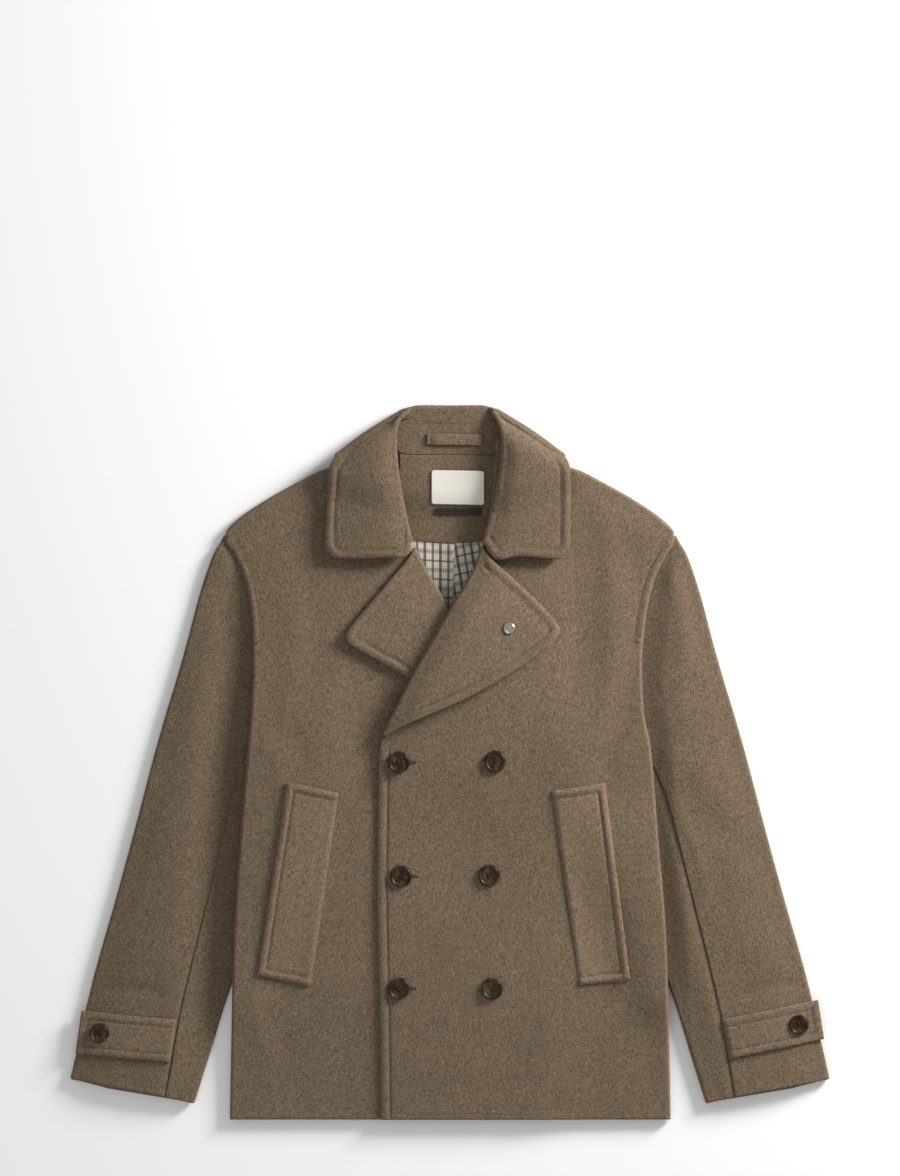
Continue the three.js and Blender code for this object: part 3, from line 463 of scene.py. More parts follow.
def under_back(x, y, slope=35, head=46):
    """Height of what the back lies on: nought, over a tucked sleeve, over the collar's fall."""
    out = np.abs(x)
    inner = sleeve_inner(y) - 3
    along = (1 - smooth(TUCK_TOP_Y, head, y)) * smooth(*TUCK_FOOT, y)
    tuck = TUCK_LIFT * smooth(inner - slope, inner, out) * along
    fall = FALL_EDGE_Y + FALL_EDGE_RISE * (out / FALL_HALF_WIDTH) ** 2
    neck = FALL_LIFT * smooth(fall - FALL_SLOPE[0], fall - FALL_SLOPE[1], y)
    return tuck + neck * (1 - smooth(*FALL_END, out))


def left_of(a, b, x, y):
    """Signed distance to the line from a to b, positive on its left."""
    dx, dy = b[0] - a[0], b[1] - a[1]
    return (dx * (y - a[1]) - dy * (x - a[0])) / math.hypot(dx, dy)


def over_right_lapel(x, y):
    """How far the right lapel, hidden under the left front, lifts it: in full above its lower edge and
    inside its roll line, both taken as straight, with long slopes beside them."""
    lower = rows_of(LAPEL_LOWER["right"]) * [-1, 1]
    foot = np.array(LAPEL_ROLL[0]) * [-1, 1]
    above = -left_of(lower[0], lower[-1], x, y)
    inside = left_of(foot, HIDDEN_HEAD, x, y)
    return LAPEL_LIFT * smooth(*HIDDEN_RISE["below"], above) * smooth(*HIDDEN_RISE["beside"], inside)


def front_face(side, x, y):
    """Face of a front: the back under it, the fill between them and its own soft folds. The left one
    also lies over the right front and its lapel, and rises a little towards its side."""
    base = under_back(x, y, TUCK_SLOPE, TUCK_HEAD) + BACK_CLOTH + INNER_GAP + FRONT_CLOTH
    base = base + NECK_GAP * smooth(*GAP_SLOPE, y)
    out = np.clip(np.abs(x) / body_edge[side](np.minimum(y, SHOULDER_POINT_Y)), 0, 1)
    across = 1 - lerp(SIDE_FALL[side], 1, smooth(*SIDE_LEVELS, y)) * out**3
    fill = BODY_FILL * across * smooth(*FILL_FOOT, y) * (1 - smooth(*FILL_HEAD, y))
    face = base + fill + folds(x, y, FRONT_FOLDS)
    if side == "left":
        face = face + LAP_LIFT * (1 - smooth(LAP_EDGE, LAP_END, x)) + over_right_lapel(x, y)
        above_welt = smooth(*WELT_TOP, y)
        upright = (1 - smooth(*LEFT_RISE_HEAD, y)) * smooth(*LEFT_RISE_FOOT, y)
        rise = lerp(*LEFT_RISE, above_welt) * upright
        face = face + rise * smooth(lerp(*LEFT_RISE_FROM, above_welt), LEFT_RISE_TO, x)
    return face


def sleeve_face(side, x, y):
    """Face of a sleeve: low beside the body, crowned at mid width, lower again towards its outer edge."""
    out = np.abs(x)
    from_outer = np.maximum(0, sleeve_outer(y) - out)
    flat = SLEEVE_HEIGHT * lerp(SLEEVE_EDGE_SHARE, 1, smooth(0, SLEEVE_EDGE_WIDTH, from_outer))
    body = body_edge[side](np.minimum(y, SHOULDER_POINT_Y))
    up = smooth(*SLEEVE_HEAD, y)
    near = body + lerp(LOW_FLOOR[side], LOW_FLOOR["head"], up)
    clear = smooth(near, body + lerp(LOW_WIDTH[side], LOW_WIDTH["head"], up), out)
    above_cuff = smooth(*CUFF, y)
    low = lerp(TUCKED_HEIGHT[side], SEAM_HEIGHT, up)
    face = lerp(flat, low, (1 - clear) * above_cuff)
    inner = lerp(sleeve_inner(np.minimum(y, UNDERARM_Y)), body, smooth(*FREE_OF_BODY, y))
    middle = smooth(0, 58, from_outer) * smooth(0, 48, out - inner)
    full = SLEEVE_CROWN * middle + folds(out, y, SLEEVE_FOLDS[side])
    return face + lerp(1, clear, above_cuff) * full


def rolled_edge(distance, radius):
    """Share of a cloth's half thickness at a distance from its rim: a quarter circle up to 1."""
    part = 1 - np.clip(distance / radius, 0, 1)
    return np.sqrt(1 - part * part)


def groove(distance, depth=GROOVE_DEPTH, width=GROOVE_WIDTH):
    """A sewn line's dip at a distance from it."""
    return -depth * np.exp(-((distance / width) ** 2))


def swell(distance, inset=STITCH_INSET, puff=EDGE_PUFF):
    """The cloth's puff between an edge and its stitch line."""
    return puff * np.sin(np.pi * np.clip(distance / inset, 0, 1)) ** 2


def stitched_edge(distance, inset=STITCH_INSET, depth=GROOVE_DEPTH, puff=EDGE_PUFF):
    """Relief beside a topstitched edge."""
    return swell(distance, inset, puff) + groove(distance - inset, depth)


def rim_steps(length, spacing, ends=(True, True)):
    """Places from 0 to 1 along a length, a spacing apart, and close together near a rounded end."""
    close = np.array([0, 0.15, 0.45, 0.95, 1.7, 2.8, 4.4]) / length
    first = close if ends[0] else np.array([0.0])
    last = 1 - close[::-1] if ends[1] else np.array([1.0])
    count = max(2, int(round((last[0] - first[-1]) * length / spacing)))
    middle = np.linspace(first[-1], last[0], count + 1)[1:-1]
    return np.concatenate([first, middle, last])


def run(points, axis):
    """Length along one direction of a grid, from its nearer end."""
    steps = np.linalg.norm(np.diff(points, axis=axis), axis=-1)
    zero = np.zeros_like(np.take(steps, [0], axis=axis))
    start = np.concatenate([zero, np.cumsum(steps, axis=axis)], axis=axis)
    total = np.take(start, [-1], axis=axis)
    return np.minimum(start, total - start)


def space(sign, plan, heights):
    """Points at plan places of one side, given by their outward distance, and at their heights."""
    return np.concatenate([sign * plan[..., :1], plan[..., 1:], heights[..., None]], -1)


def unit(vector):
    return vector / np.maximum(np.linalg.norm(vector, axis=-1, keepdims=True), 1e-9)


def turned(x, y, degrees):
    """Plan coordinates turned about the origin."""
    cosine, sine = math.cos(math.radians(degrees)), math.sin(math.radians(degrees))
    return x * cosine - y * sine, x * sine + y * cosine


def angles_round(count):
    return np.linspace(0, 2 * np.pi, count, endpoint=False)


MM = 0.001


def add_mesh(name, vertices, faces, material):
    """A smooth-shaded mesh piece from its points in millimetres and its quads, with its faces out."""
    triangles = vertices[faces[:, :3]]
    others = vertices[faces[:, [0, 2, 3]]]
    volume = sum(np.einsum("ij,ij->", t[:, 0], np.cross(t[:, 1], t[:, 2])) for t in (triangles, others))
    if volume < 0:
        faces = faces[:, ::-1]
    mesh = bpy.data.meshes.new(name)
    mesh.vertices.add(len(vertices))
    mesh.vertices.foreach_set("co", (vertices * MM).astype(np.float32).ravel())
    mesh.loops.add(faces.size)
    mesh.loops.foreach_set("vertex_index", faces.astype(np.int32).ravel())
    mesh.polygons.add(len(faces))
    mesh.polygons.foreach_set("loop_start", np.arange(0, faces.size, 4, dtype=np.int32))
    mesh.update(calc_edges=True)
    mesh.polygons.foreach_set("use_smooth", np.ones(len(faces), bool))
    mesh.materials.append(material)
    piece = bpy.data.objects.new(name, mesh)
    bpy.context.scene.collection.objects.link(piece)
    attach(piece, "root")
    return piece


def closed_skin(top, bottom):
    """Points and quads of the skin between two grids of points whose outer rows and columns coincide."""
    rows, columns = top.shape[:2]
    upper = np.arange(rows * columns).reshape(rows, columns)
    lower = upper.copy()
    lower[1:-1, 1:-1] = rows * columns + np.arange((rows - 2) * (columns - 2)).reshape(rows - 2, -1)

    def quads(grid):
        return np.stack([grid[:-1, :-1], grid[:-1, 1:], grid[1:, 1:], grid[1:, :-1]], -1).reshape(-1, 4)

    faces = np.concatenate([quads(upper), quads(lower)[:, ::-1]])
    vertices = np.concatenate([top.reshape(-1, 3), bottom[1:-1, 1:-1].reshape(-1, 3)])
    return vertices, faces


def layer(name, plan, top, thickness, material, radius=1.6, rim=None):
    """Cloth over a grid of plan points: its face is at the height top, its underside is thickness
    lower, and both close on the mid height at the rim, in a quarter circle of the given radius."""
    points = np.concatenate([plan, top[..., None]], -1)
    if rim is None:
        rim = np.minimum(run(plan, 0), run(plan, 1))
    share = rolled_edge(rim, radius)
    share[[0, -1], :] = 0
    share[:, [0, -1]] = 0
    half = thickness / 2
    upper, lower = points.copy(), points.copy()
    upper[..., 2] = top - half + half * share
    lower[..., 2] = top - half - half * share
    piece = add_mesh(name, *closed_skin(upper, lower), material)
    return piece, upper


def wall(name, middle, thickness, material, relief, radius):
    """Cloth about a grid of middle points: each side lies half the thickness away along the normal,
    less towards the rim. Relief is added to the outer side."""
    normal = unit(np.cross(np.gradient(middle, axis=1), np.gradient(middle, axis=0)))
    share = rolled_edge(np.minimum(run(middle, 0), run(middle, 1)), radius)
    share[[0, -1], :] = 0
    share[:, [0, -1]] = 0
    half = (thickness / 2 * share)[..., None]
    outer = middle + normal * (half + (relief * share)[..., None])
    inner = middle - normal * half
    piece = add_mesh(name, *closed_skin(outer, inner), material)
    return piece, outer


class Value:
    """A socket in a material; arithmetic on it adds Math nodes."""

    def __init__(self, finish, socket):
        self.finish = finish
        self.socket = socket

    def math(self, operation, *others):
        return self.finish.node("Math", {"operation": operation}, dict(enumerate((self, *others))))

    def __add__(self, other):
        return self.math("ADD", other)

    def __sub__(self, other):
        return self.math("SUBTRACT", other)

    def __mul__(self, other):
        return self.math("MULTIPLY", other)

    def __truediv__(self, other):
        return self.math("DIVIDE", other)

    def __rsub__(self, other):
        return self.finish.node("Math", {"operation": "SUBTRACT"}, {0: other, 1: self})

    __radd__ = __add__
    __rmul__ = __mul__

    def between(self, low, high):
        """0 below low and 1 above high, with a soft start and end."""
        sockets = {"Value": self, "From Min": low, "From Max": high}
        return self.finish.node("MapRange", {"interpolation_type": "SMOOTHSTEP"}, sockets)


class Finish:
    """A material's nodes."""

    def __init__(self, name):
        self.material = bpy.data.materials.new(name)
        self.material.use_nodes = True
        self.tree = self.material.node_tree
        self.shader = next(n for n in self.tree.nodes if n.type == "BSDF_PRINCIPLED")

    def put(self, socket, value):
        """Links a value to a socket, or sets it."""
        if isinstance(value, Value):
            self.tree.links.new(value.socket, socket)
        elif isinstance(value, tuple) and len(value) == 3 and socket.type == "RGBA":
            socket.default_value = (*value, 1)
        else:
            socket.default_value = value

    def node(self, kind, settings, sockets, output=0):
        """Adds a node of a type, with its settings and then the values or links of its sockets."""
        made = self.tree.nodes.new("ShaderNode" + kind)
        for name, value in settings.items():
            setattr(made, name, value)
        for name, value in sockets.items():
            self.put(made.inputs[name], value)
        return Value(self, made.outputs[output])

    def place(self, scale=(1, 1, 1), turn=0):
        """Object coordinates, turned about Z and scaled."""
        here = self.node("TexCoord", {}, {}, "Object")
        sockets = {"Vector": here, "Rotation": (0, 0, math.radians(turn)), "Scale": scale}
        return self.node("Mapping", {}, sockets)

    def split(self, place):
        """X and Y of coordinates."""
        return [self.node("SeparateXYZ", {}, {0: place}, axis) for axis in ("X", "Y")]

    def noise(self, place, scale, detail=2.0, roughness=0.5, distortion=0.0):
        sockets = {"Vector": place, "Scale": scale, "Detail": detail, "Roughness": roughness}
        sockets["Distortion"] = distortion
        return self.node("TexNoise", {"noise_dimensions": "3D"}, sockets)

    def mix(self, part, a, b):
        """The colour a where part is 0 and b where it is 1."""
        return self.node("Mix", {"data_type": "RGBA"}, {0: part, 6: a, 7: b}, 2)

    def finish(self, **sockets):
        """Sets the shader's sockets by name, with spaces for underscores."""
        for name, value in sockets.items():
            self.put(self.shader.inputs[name.replace("_", " ")], value)
        return self.material

    def bump(self, height, distance, strength):
        sockets = {"Height": height, "Distance": distance, "Strength": strength}
        return self.node("Bump", {}, sockets)


def shade(red, green, blue):
    """A screen colour, 0 to 255, as scene light."""
    parts = np.array([red, green, blue]) / 255
    light = np.where(parts <= 0.04045, parts / 12.92, ((parts + 0.055) / 1.055) ** 2.4)
    return tuple(float(part) for part in light)


def scaled(colour, factor):
    return tuple(factor * part for part in colour)


WOOL = shade(108, 93, 76)


def wool(name, turn=0, tone_and_painted_light=1.0, nap=1.0):
    """Brushed wool: fine curled fibres with a faint upright grain, pale and dark ones among them, and
    a bump from the same fibres. All its colours are scaled by a tone, which is partly painted light:
    a lighter or darker copy of the same wool for a piece that the light falls on more or less."""
    cloth = Finish(name)
    flat = cloth.place(turn=turn)
    napped = cloth.place(scale=(1, 0.5, 1), turn=turn)
    curls = cloth.noise(flat, 960, 2, 0.7, 1.6)
    tufts = cloth.noise(napped, 600, 2, 0.6, 0.7)
    clumps = cloth.noise(flat, 200, 2, 0.5)
    patches = cloth.noise(flat, 16, 2, 0.5)
    body = curls * 0.6 + tufts * 0.3 + clumps * 0.1
    base = cloth.mix(body.between(0.38, 0.62), scaled(WOOL, 0.43 * tone_and_painted_light), scaled(WOOL, 1.62 * tone_and_painted_light))
    pale = cloth.noise(flat, 950, 1, 0.5, 1.0).between(0.62, 0.7) * (0.68 * nap)
    with_pale = cloth.mix(pale, base, scaled(shade(176, 157, 132), tone_and_painted_light))
    dark = cloth.noise(flat, 760, 1, 0.5, 0.6).between(0.62, 0.72) * (0.6 * nap)
    with_dark = cloth.mix(dark, with_pale, scaled(shade(52, 42, 32), tone_and_painted_light))
    colour = cloth.mix(patches.between(0.25, 0.75) * 0.16, with_dark, scaled(WOOL, 0.8 * tone_and_painted_light))
    bump = cloth.bump(body + tufts * 0.25, 0.0014 * nap, 0.8)
    return cloth.finish(
        Base_Color=colour, Roughness=0.95, Normal=bump, Specular_IOR_Level=0.12,
        Sheen_Weight=0.16, Sheen_Roughness=0.45, Sheen_Tint=shade(206, 188, 164),
    )


# Pitches of the lining's check and of its ribs, in metres
UPRIGHT_PITCH = 0.018
LEVEL_PITCH = 0.021
RIB_PITCH = 0.0022


def stripe(along, pitch, width, offset=0.0):
    """1 inside the lines that repeat along a coordinate, 0 between them, with soft sides."""
    turn = ((along + offset) / pitch).math("FRACT")
    away = (turn - 0.5).math("ABSOLUTE") * pitch
    return 1 - away.between(width * 0.35, width * 0.65)


def checked_lining(name):
    """Pale ribbed cloth with a fine brown check, on its own flat coordinates. Upright: a wide line and
    a narrower one in turn. Level: a faint band and a dark line in turn, the line softer on one side."""
    cloth = Finish(name)
    here = cloth.node("UVMap", {"uv_map": "cloth"}, {})
    across, up = cloth.split(here)
    weave = cloth.noise(cloth.node("Mapping", {}, {"Vector": here, "Scale": (1, 0.5, 1)}), 700, 2, 0.5)
    rough = (weave - 0.5) * 1.1
    wide = stripe(across, UPRIGHT_PITCH, 0.0034, 0.002)
    second = stripe(across, UPRIGHT_PITCH, 0.0026, 0.0108) * 0.92
    band = stripe(up, LEVEL_PITCH, 0.0046) * 0.58
    level = stripe(up, LEVEL_PITCH, 0.0022, 0.0105) * 0.92
    level_thin = stripe(up, LEVEL_PITCH / 2, 0.0012, 0.0046) * 0.45
    ribs = stripe(across, RIB_PITCH, 0.0011) * 0.45
    cream = cloth.mix(weave.between(0.3, 0.7), shade(186, 182, 170), shade(222, 219, 208))
    ribbed = cloth.mix(ribs, cream, shade(150, 146, 138))
    mask = wide.math("MAXIMUM", second)
    upright = cloth.mix(mask * (0.88 + rough * 0.4), ribbed, shade(88, 64, 46))
    crossing = band.math("MAXIMUM", level).math("MAXIMUM", level_thin)
    colour = cloth.mix(crossing * (0.78 + rough * 0.5), upright, shade(58, 45, 35))
    return cloth.finish(
        Base_Color=colour, Roughness=0.7, Normal=cloth.bump(weave + ribs * 1.5, 0.0003, 0.5),
        Specular_IOR_Level=0.3, Sheen_Weight=0.1,
    )


def woven_label(name, colour, pitch):
    """A tightly woven ribbon: fine crossing threads."""
    cloth = Finish(name)
    place = cloth.place()
    x, y = cloth.split(place)
    threads = stripe(x, pitch, pitch * 0.6) * 0.5 + stripe(y, pitch, pitch * 0.6) * 0.5
    fleck = cloth.noise(place, 700, 2, 0.6)
    tint = cloth.mix(fleck.between(0.25, 0.75), scaled(colour, 0.93), scaled(colour, 1.04))
    woven = cloth.mix((1 - threads) * 0.1, tint, scaled(colour, 0.6))
    return cloth.finish(
        Base_Color=woven, Roughness=0.6, Normal=cloth.bump(threads, 0.00015, 0.4),
        Specular_IOR_Level=0.35, Sheen_Weight=0.1,
    )


def horn(name, turn):
    """Polished dark horn: smoky streaks that run one way across each button."""
    stuff = Finish(name)
    place = stuff.place(scale=(1, 0.28, 1), turn=turn)
    streaks = stuff.noise(place, 210, 4, 0.6, 1.4)
    smoke = stuff.noise(stuff.place(turn=turn), 70, 3, 0.55, 0.8)
    amber = streaks.between(0.44, 0.72) * smoke.between(0.3, 0.65)
    dark = stuff.mix(smoke.between(0.3, 0.7), shade(32, 22, 14), shade(55, 40, 25))
    colour = stuff.mix(amber * 0.5, dark, shade(124, 100, 68))
    rough = 0.24 + streaks.between(0.3, 0.8) * 0.12
    fine = stuff.noise(place, 900, 2, 0.5)
    return stuff.finish(
        Base_Color=colour, Roughness=rough, Normal=stuff.bump(fine, 0.00008, 0.25),
        Specular_IOR_Level=0.24,
    )


def nickel(name):
    """Polished nickel with faint wear."""
    stuff = Finish(name)
    wear = stuff.noise(stuff.place(), 900, 3, 0.6)
    colour = stuff.mix(wear.between(0.35, 0.75), shade(206, 202, 194), shade(176, 171, 162))
    return stuff.finish(
        Base_Color=colour, Metallic=1.0, Roughness=0.16 + wear * 0.14,
        Normal=stuff.bump(wear, 0.00004, 0.2),
    )


def thread(name, colour):
    """Twisted sewing thread."""
    stuff = Finish(name)
    strands = stuff.noise(stuff.place(), 2200, 1, 0.5)
    tint = stuff.mix(strands.between(0.3, 0.7), scaled(colour, 0.75), scaled(colour, 1.2))
    return stuff.finish(Base_Color=tint, Roughness=0.75, Normal=stuff.bump(strands, 0.0002, 0.5))


# Copies of the wool for the pieces, with tones that are partly painted light: the sleeves (the wearer's
# right one most) and the collar darker, the lapels and trim lighter, for how the light falls on them
MATERIALS = {
    "body": wool("wool_body", tone_and_painted_light=1.02),
    "right_sleeve": wool("wool_right_sleeve", turn=-15, tone_and_painted_light=0.92),
    "left_sleeve": wool("wool_left_sleeve", turn=15, tone_and_painted_light=0.96),
    "right_lapel": wool("wool_right_lapel", turn=28, tone_and_painted_light=1.08),
    "left_lapel": wool("wool_left_lapel", turn=-28, tone_and_painted_light=1.06),
    "collar": wool("wool_collar", turn=4, tone_and_painted_light=0.95),
    "trim": wool("wool_trim", turn=8, tone_and_painted_light=1.09),
    # The wearer's left welt: a much lighter copy of the wool, painted light on it
    "left_welt_painted_light": wool("wool_left_welt", turn=-8, tone_and_painted_light=1.3),
    "facing": wool("smooth_facing", tone_and_painted_light=0.96, nap=0.5),
    "lining": checked_lining("checked_lining"),
    "label": woven_label("pale_ribbon", shade(222, 219, 210), 0.0007),
    "label_dark": woven_label("dark_ribbon", shade(42, 33, 26), 0.0007),
    "thread": thread("brown_thread", shade(84, 69, 55)),
    # Dark thread for the buttons, and in the buttonholes also painted shade where the slit would be
    "dark_thread_and_slit_shade": thread("dark_thread", shade(48, 38, 30)),
    "nickel": nickel("polished_nickel"),
}


def declare(piece, node):
    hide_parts(node)
    mesh = piece.data
    areas = np.zeros(len(mesh.polygons))
    mesh.polygons.foreach_get("area", areas)


def height_at(face, spots):
    """Height of a face at plan points: the mean of its four nearest points, the nearest counting most."""
    grid = face.reshape(-1, 3)
    apart = np.hypot(spots[:, 0, None] - grid[None, :, 0], spots[:, 1, None] - grid[None, :, 1])
    near = np.argpartition(apart, 4, axis=1)[:, :4]
    weight = 1 / (np.take_along_axis(apart, near, 1) + 0.05)
    return (grid[near, 2] * weight).sum(1) / weight.sum(1)


def along_path(path, walked, places):
    return np.stack([np.interp(places, walked, path[:, k]) for k in (0, 1)], -1)


def stitches(name, face, lines):
    """Sewing thread along plan lines: each stitch is a small capsule sunk in the groove, with six
    sides, thick at mid length and thin at its ends."""
    half = STITCH_LENGTH / 2
    centres, aims = [], []
    for path in lines:
        steps = np.linalg.norm(np.diff(path, axis=0), axis=1)
        walked = np.concatenate([[0], np.cumsum(steps)])
        count = max(1, int(walked[-1] / STITCH_PITCH))
        places = (np.arange(count) + 0.5) * walked[-1] / count
        centres.append(along_path(path, walked, places))
        aims.append(along_path(path, walked, places + half) - along_path(path, walked, places - half))
    centres, aims = np.vstack(centres), unit(np.vstack(aims))
    ends = [height_at(face, centres + sign * aims * half) for sign in (-1, 1)]
    part = np.linspace(-1, 1, 5)
    sides = angles_round(6)
    thick = (np.sqrt(np.clip(1 - part**4, 0.06, 1)) * THREAD / 2)[None, :, None]
    rise = lerp(ends[0][:, None], ends[1][:, None], (part[None] + 1) / 2) + 0.1 * THREAD
    spine = centres[:, None] + aims[:, None] * (part * half)[None, :, None]
    square = np.stack([-aims[:, 1], aims[:, 0]], 1)
    plan = spine[:, :, None] + square[:, None, None] * (thick * np.cos(sides))[..., None]
    points = np.concatenate([plan, (rise[:, :, None] + thick * np.sin(sides))[..., None]], -1)
    rings = np.arange(len(part) * len(sides)).reshape(len(part), -1)
    after = np.roll(rings, -1, axis=1)
    walls = np.stack([rings[:-1], after[:-1], after[1:], rings[1:]], -1).reshape(-1, 4)
    caps = [rings[0][[0, 3, 2, 1]], rings[0][[0, 5, 4, 3]], rings[-1][:4], rings[-1][[0, 3, 4, 5]]]
    template = np.concatenate([walls, np.array(caps)])
    faces = (template[None] + rings.size * np.arange(len(centres))[:, None, None]).reshape(-1, 4)
    piece = add_mesh(name, points.reshape(-1, 3), faces, MATERIALS["thread"])
    return piece


def inset_border(border, centre, sign):
    """Stitch line at one inset inside a border, on the side of a centre, without its crossed ends."""
    tangent = unit(np.gradient(border, axis=0))
    normal = np.stack([-tangent[:, 1], tangent[:, 0]], 1)
    normal *= np.sign(((np.array(centre) - border) * normal).sum(1))[:, None]
    inset = border + normal * STITCH_INSET
    keep = distance_to(border, inset) > STITCH_INSET - 0.3
    return [inset[keep] * [sign, 1]]


# Fronts: columns beside the inner edge and the side, and where hem, neck and stitching begin and end
NEAR_STEPS = np.array([0, 0.15, 0.5, 1, 1.7, 2.8, 4.2, 6, 7.8, 9, 9.8, 10.5, 11.2, 12, 13.2, 15.5])
FAR_STEPS = np.array([9, 7.4, 6, 4.8, 3.7, 2.8, 2, 1.3, 0.8, 0.4, 0.12, 0])


HEM_INSET = 7.4
CORNER_X = -70
NECK_UNDERLAP = 9
NECK_UNDERLAP_FROM = (222, 248)
ARMHOLE_SEWN_FROM = (TACK_Y - 6, TACK_Y + 10)
ARMHOLE_SEWN_TO = (246, 260)
FRONT_SEWN_TO = (8, 24)


def hem_line(x, corner=2.2):
    """Height of the hem's stitches over the hem: waved, and higher at the front's corner."""
    return HEM_INSET + 0.8 * np.sin(x / 17) + corner * np.exp(-(((x - CORNER_X) / 16) ** 2))


def front_panel(side):
    """Level rows from the inner edge to the side. The side rolls down to the back panel's edge, or onto
    the sleeve where that lies under it, a little less beside the armhole's lower end."""
    sign = SIDES[side]
    y = lerp(HEM_Y, NECK_Y, rim_steps(NECK_Y - HEM_Y, 4.6))[:, None]
    inner = front_inner(y) - (side == "left") * NECK_UNDERLAP * smooth(*NECK_UNDERLAP_FROM, y)
    outer = body_edge[side](y)
    slope = body_edge[side](y + 2) - body_edge[side](y - 2)
    squared = 4 / np.hypot(4, slope)
    fit = np.minimum(1, (outer - inner) * squared / 60)
    across = np.linspace(0, 1, 62)[1:-1]
    near, far = inner + NEAR_STEPS * fit, outer - FAR_STEPS * fit / squared
    e = np.concatenate([near, lerp(near[:, -1:], far[:, :1], across), far], 1)
    y = np.broadcast_to(y, e.shape)
    x = sign * e
    distance = (outer - e) * squared
    below_tack = 1 - smooth(TACK_Y + 25, TACK_Y + 100, y)
    bend = np.maximum(below_tack, smooth(TACK_Y + 20, SHOULDER_POINT_Y - 46, y))
    face = front_face(side, x, y)
    floor = under_back(x, y) + 1.5
    on_sleeve = sleeve_face(side, sign * (outer + 1), y) * smooth(HEM_Y + 70, HEM_Y + 130, y)
    past_sleeve = smooth(SHOULDER_POINT_Y, SHOULDER_POINT_Y + 26, y)
    low = lerp(np.maximum(floor, on_sleeve - 0.6), floor, past_sleeve)
    turn = 1 - np.sqrt(1 - (1 - np.minimum(distance / SIDE_ROLL[side], 1)) ** 2)
    top = face - bend * turn * (face - low - FRONT_CLOTH / 2)
    armhole = smooth(*ARMHOLE_SEWN_FROM, y) * (1 - smooth(*ARMHOLE_SEWN_TO, y))
    top = top + armhole * stitched_edge(distance, ARMHOLE_INSET, 0.8, 0.6)
    edge_in, hem = e - inner, y - HEM_Y
    sewn = stitched_edge(edge_in, FRONT_INSET, *FRONT_SEWN[side])
    top = top + (1 - smooth(*FRONT_SEWN_TO, y)) * sewn
    first, last = HEM_SPAN[side]
    top = top + smooth(*first, x) * (1 - smooth(*last, x)) * groove(hem - hem_line(x), 0.55, 1.4)
    top = top + 0.5 * np.exp(-(((hem - 4) / 4) ** 2))
    rim = np.minimum(np.minimum(edge_in, hem), np.maximum(distance, 0))
    plan = np.stack([x, y], -1)
    return layer(f"front_{side}_cloth", plan, top, FRONT_CLOTH - 0.3, MATERIALS["body"], 2.0, rim)


def front_lines(side):
    """Stitch lines of a front: the armhole's down to the tack, the hem's, and the left front's edge."""
    y = np.linspace(TACK_Y + 4, 248, 40)
    armhole = np.stack([SIDES[side] * (body_edge[side](y) - ARMHOLE_INSET), y], 1)
    if side == "right":
        x = np.linspace(-114, -82, 12)
        return [np.stack([x, HEM_Y + hem_line(x, 0)], 1), armhole]
    y = np.linspace(HEM_Y + 6, 10, 90)
    x = np.linspace(-66, 108, 40)
    edge_line = np.stack([front_inner(y) + FRONT_INSET, y], 1)
    return [edge_line, np.stack([x, HEM_Y + hem_line(x)], 1), armhole]


# Back
def back_panel():
    """The panel that the coat lies on: level rows to the shoulder points, then up to the shoulders and
    the neck curve. Its underside is flat on the floor, but for the sleeves and the collar under it."""
    rows = np.concatenate([np.linspace(HEM_Y, 12, 60), np.linspace(16, SHOULDER_POINT_Y, 44)])
    half = np.concatenate([np.linspace(0, 150, 26)[:-1], np.linspace(150, 250, 26)]) / 250
    share = np.concatenate([-half[:0:-1], half])
    on_shoulder = BODY_EDGE["y"] > SHOULDER_POINT_Y + 10
    shoulder = curve(BODY_EDGE["left"][on_shoulder], BODY_EDGE["y"][on_shoulder])

    def width(side, y):
        tucked = (y > UNDERARM_Y) & (y < SHOULDER_POINT_Y)
        return body_edge[side](y) - np.where(tucked, 1.0, FRONT_CLOTH + 0.9)

    y = rows[:, None] * np.ones_like(share)
    x = np.where(share < 0, share * width("right", y), share * width("left", y))
    widest = x[-1]
    out = np.abs(widest)
    seam = shoulder(out) - 5.8 - 4 * smooth(200, 250, out)
    top = np.where(out < STAND_HALF_WIDTH + 1, neck_line(out), seam)
    top = np.maximum(top, SHOULDER_POINT_Y + 2)
    rise = np.linspace(0, 1, 26)[1:, None]
    x = np.vstack([x, np.broadcast_to(widest, (25, len(widest)))])
    y = np.vstack([y, lerp(SHOULDER_POINT_Y, top, rise)])
    plan = np.stack([x, y], -1)
    face = under_back(x, y) + BACK_CLOTH
    return layer("back_cloth", plan, face, BACK_CLOTH - 0.2, MATERIALS["body"], 1.6)


# Sleeves: the tuck under the front at the armhole's head and below its tack, the top, the arm's length
ARMHOLE_TUCK = 2.6
SLEEVE_TUCK = 11
SLEEVE_TOP_Y = SHOULDER_POINT_Y + 4.6
ARM_LENGTH = 390


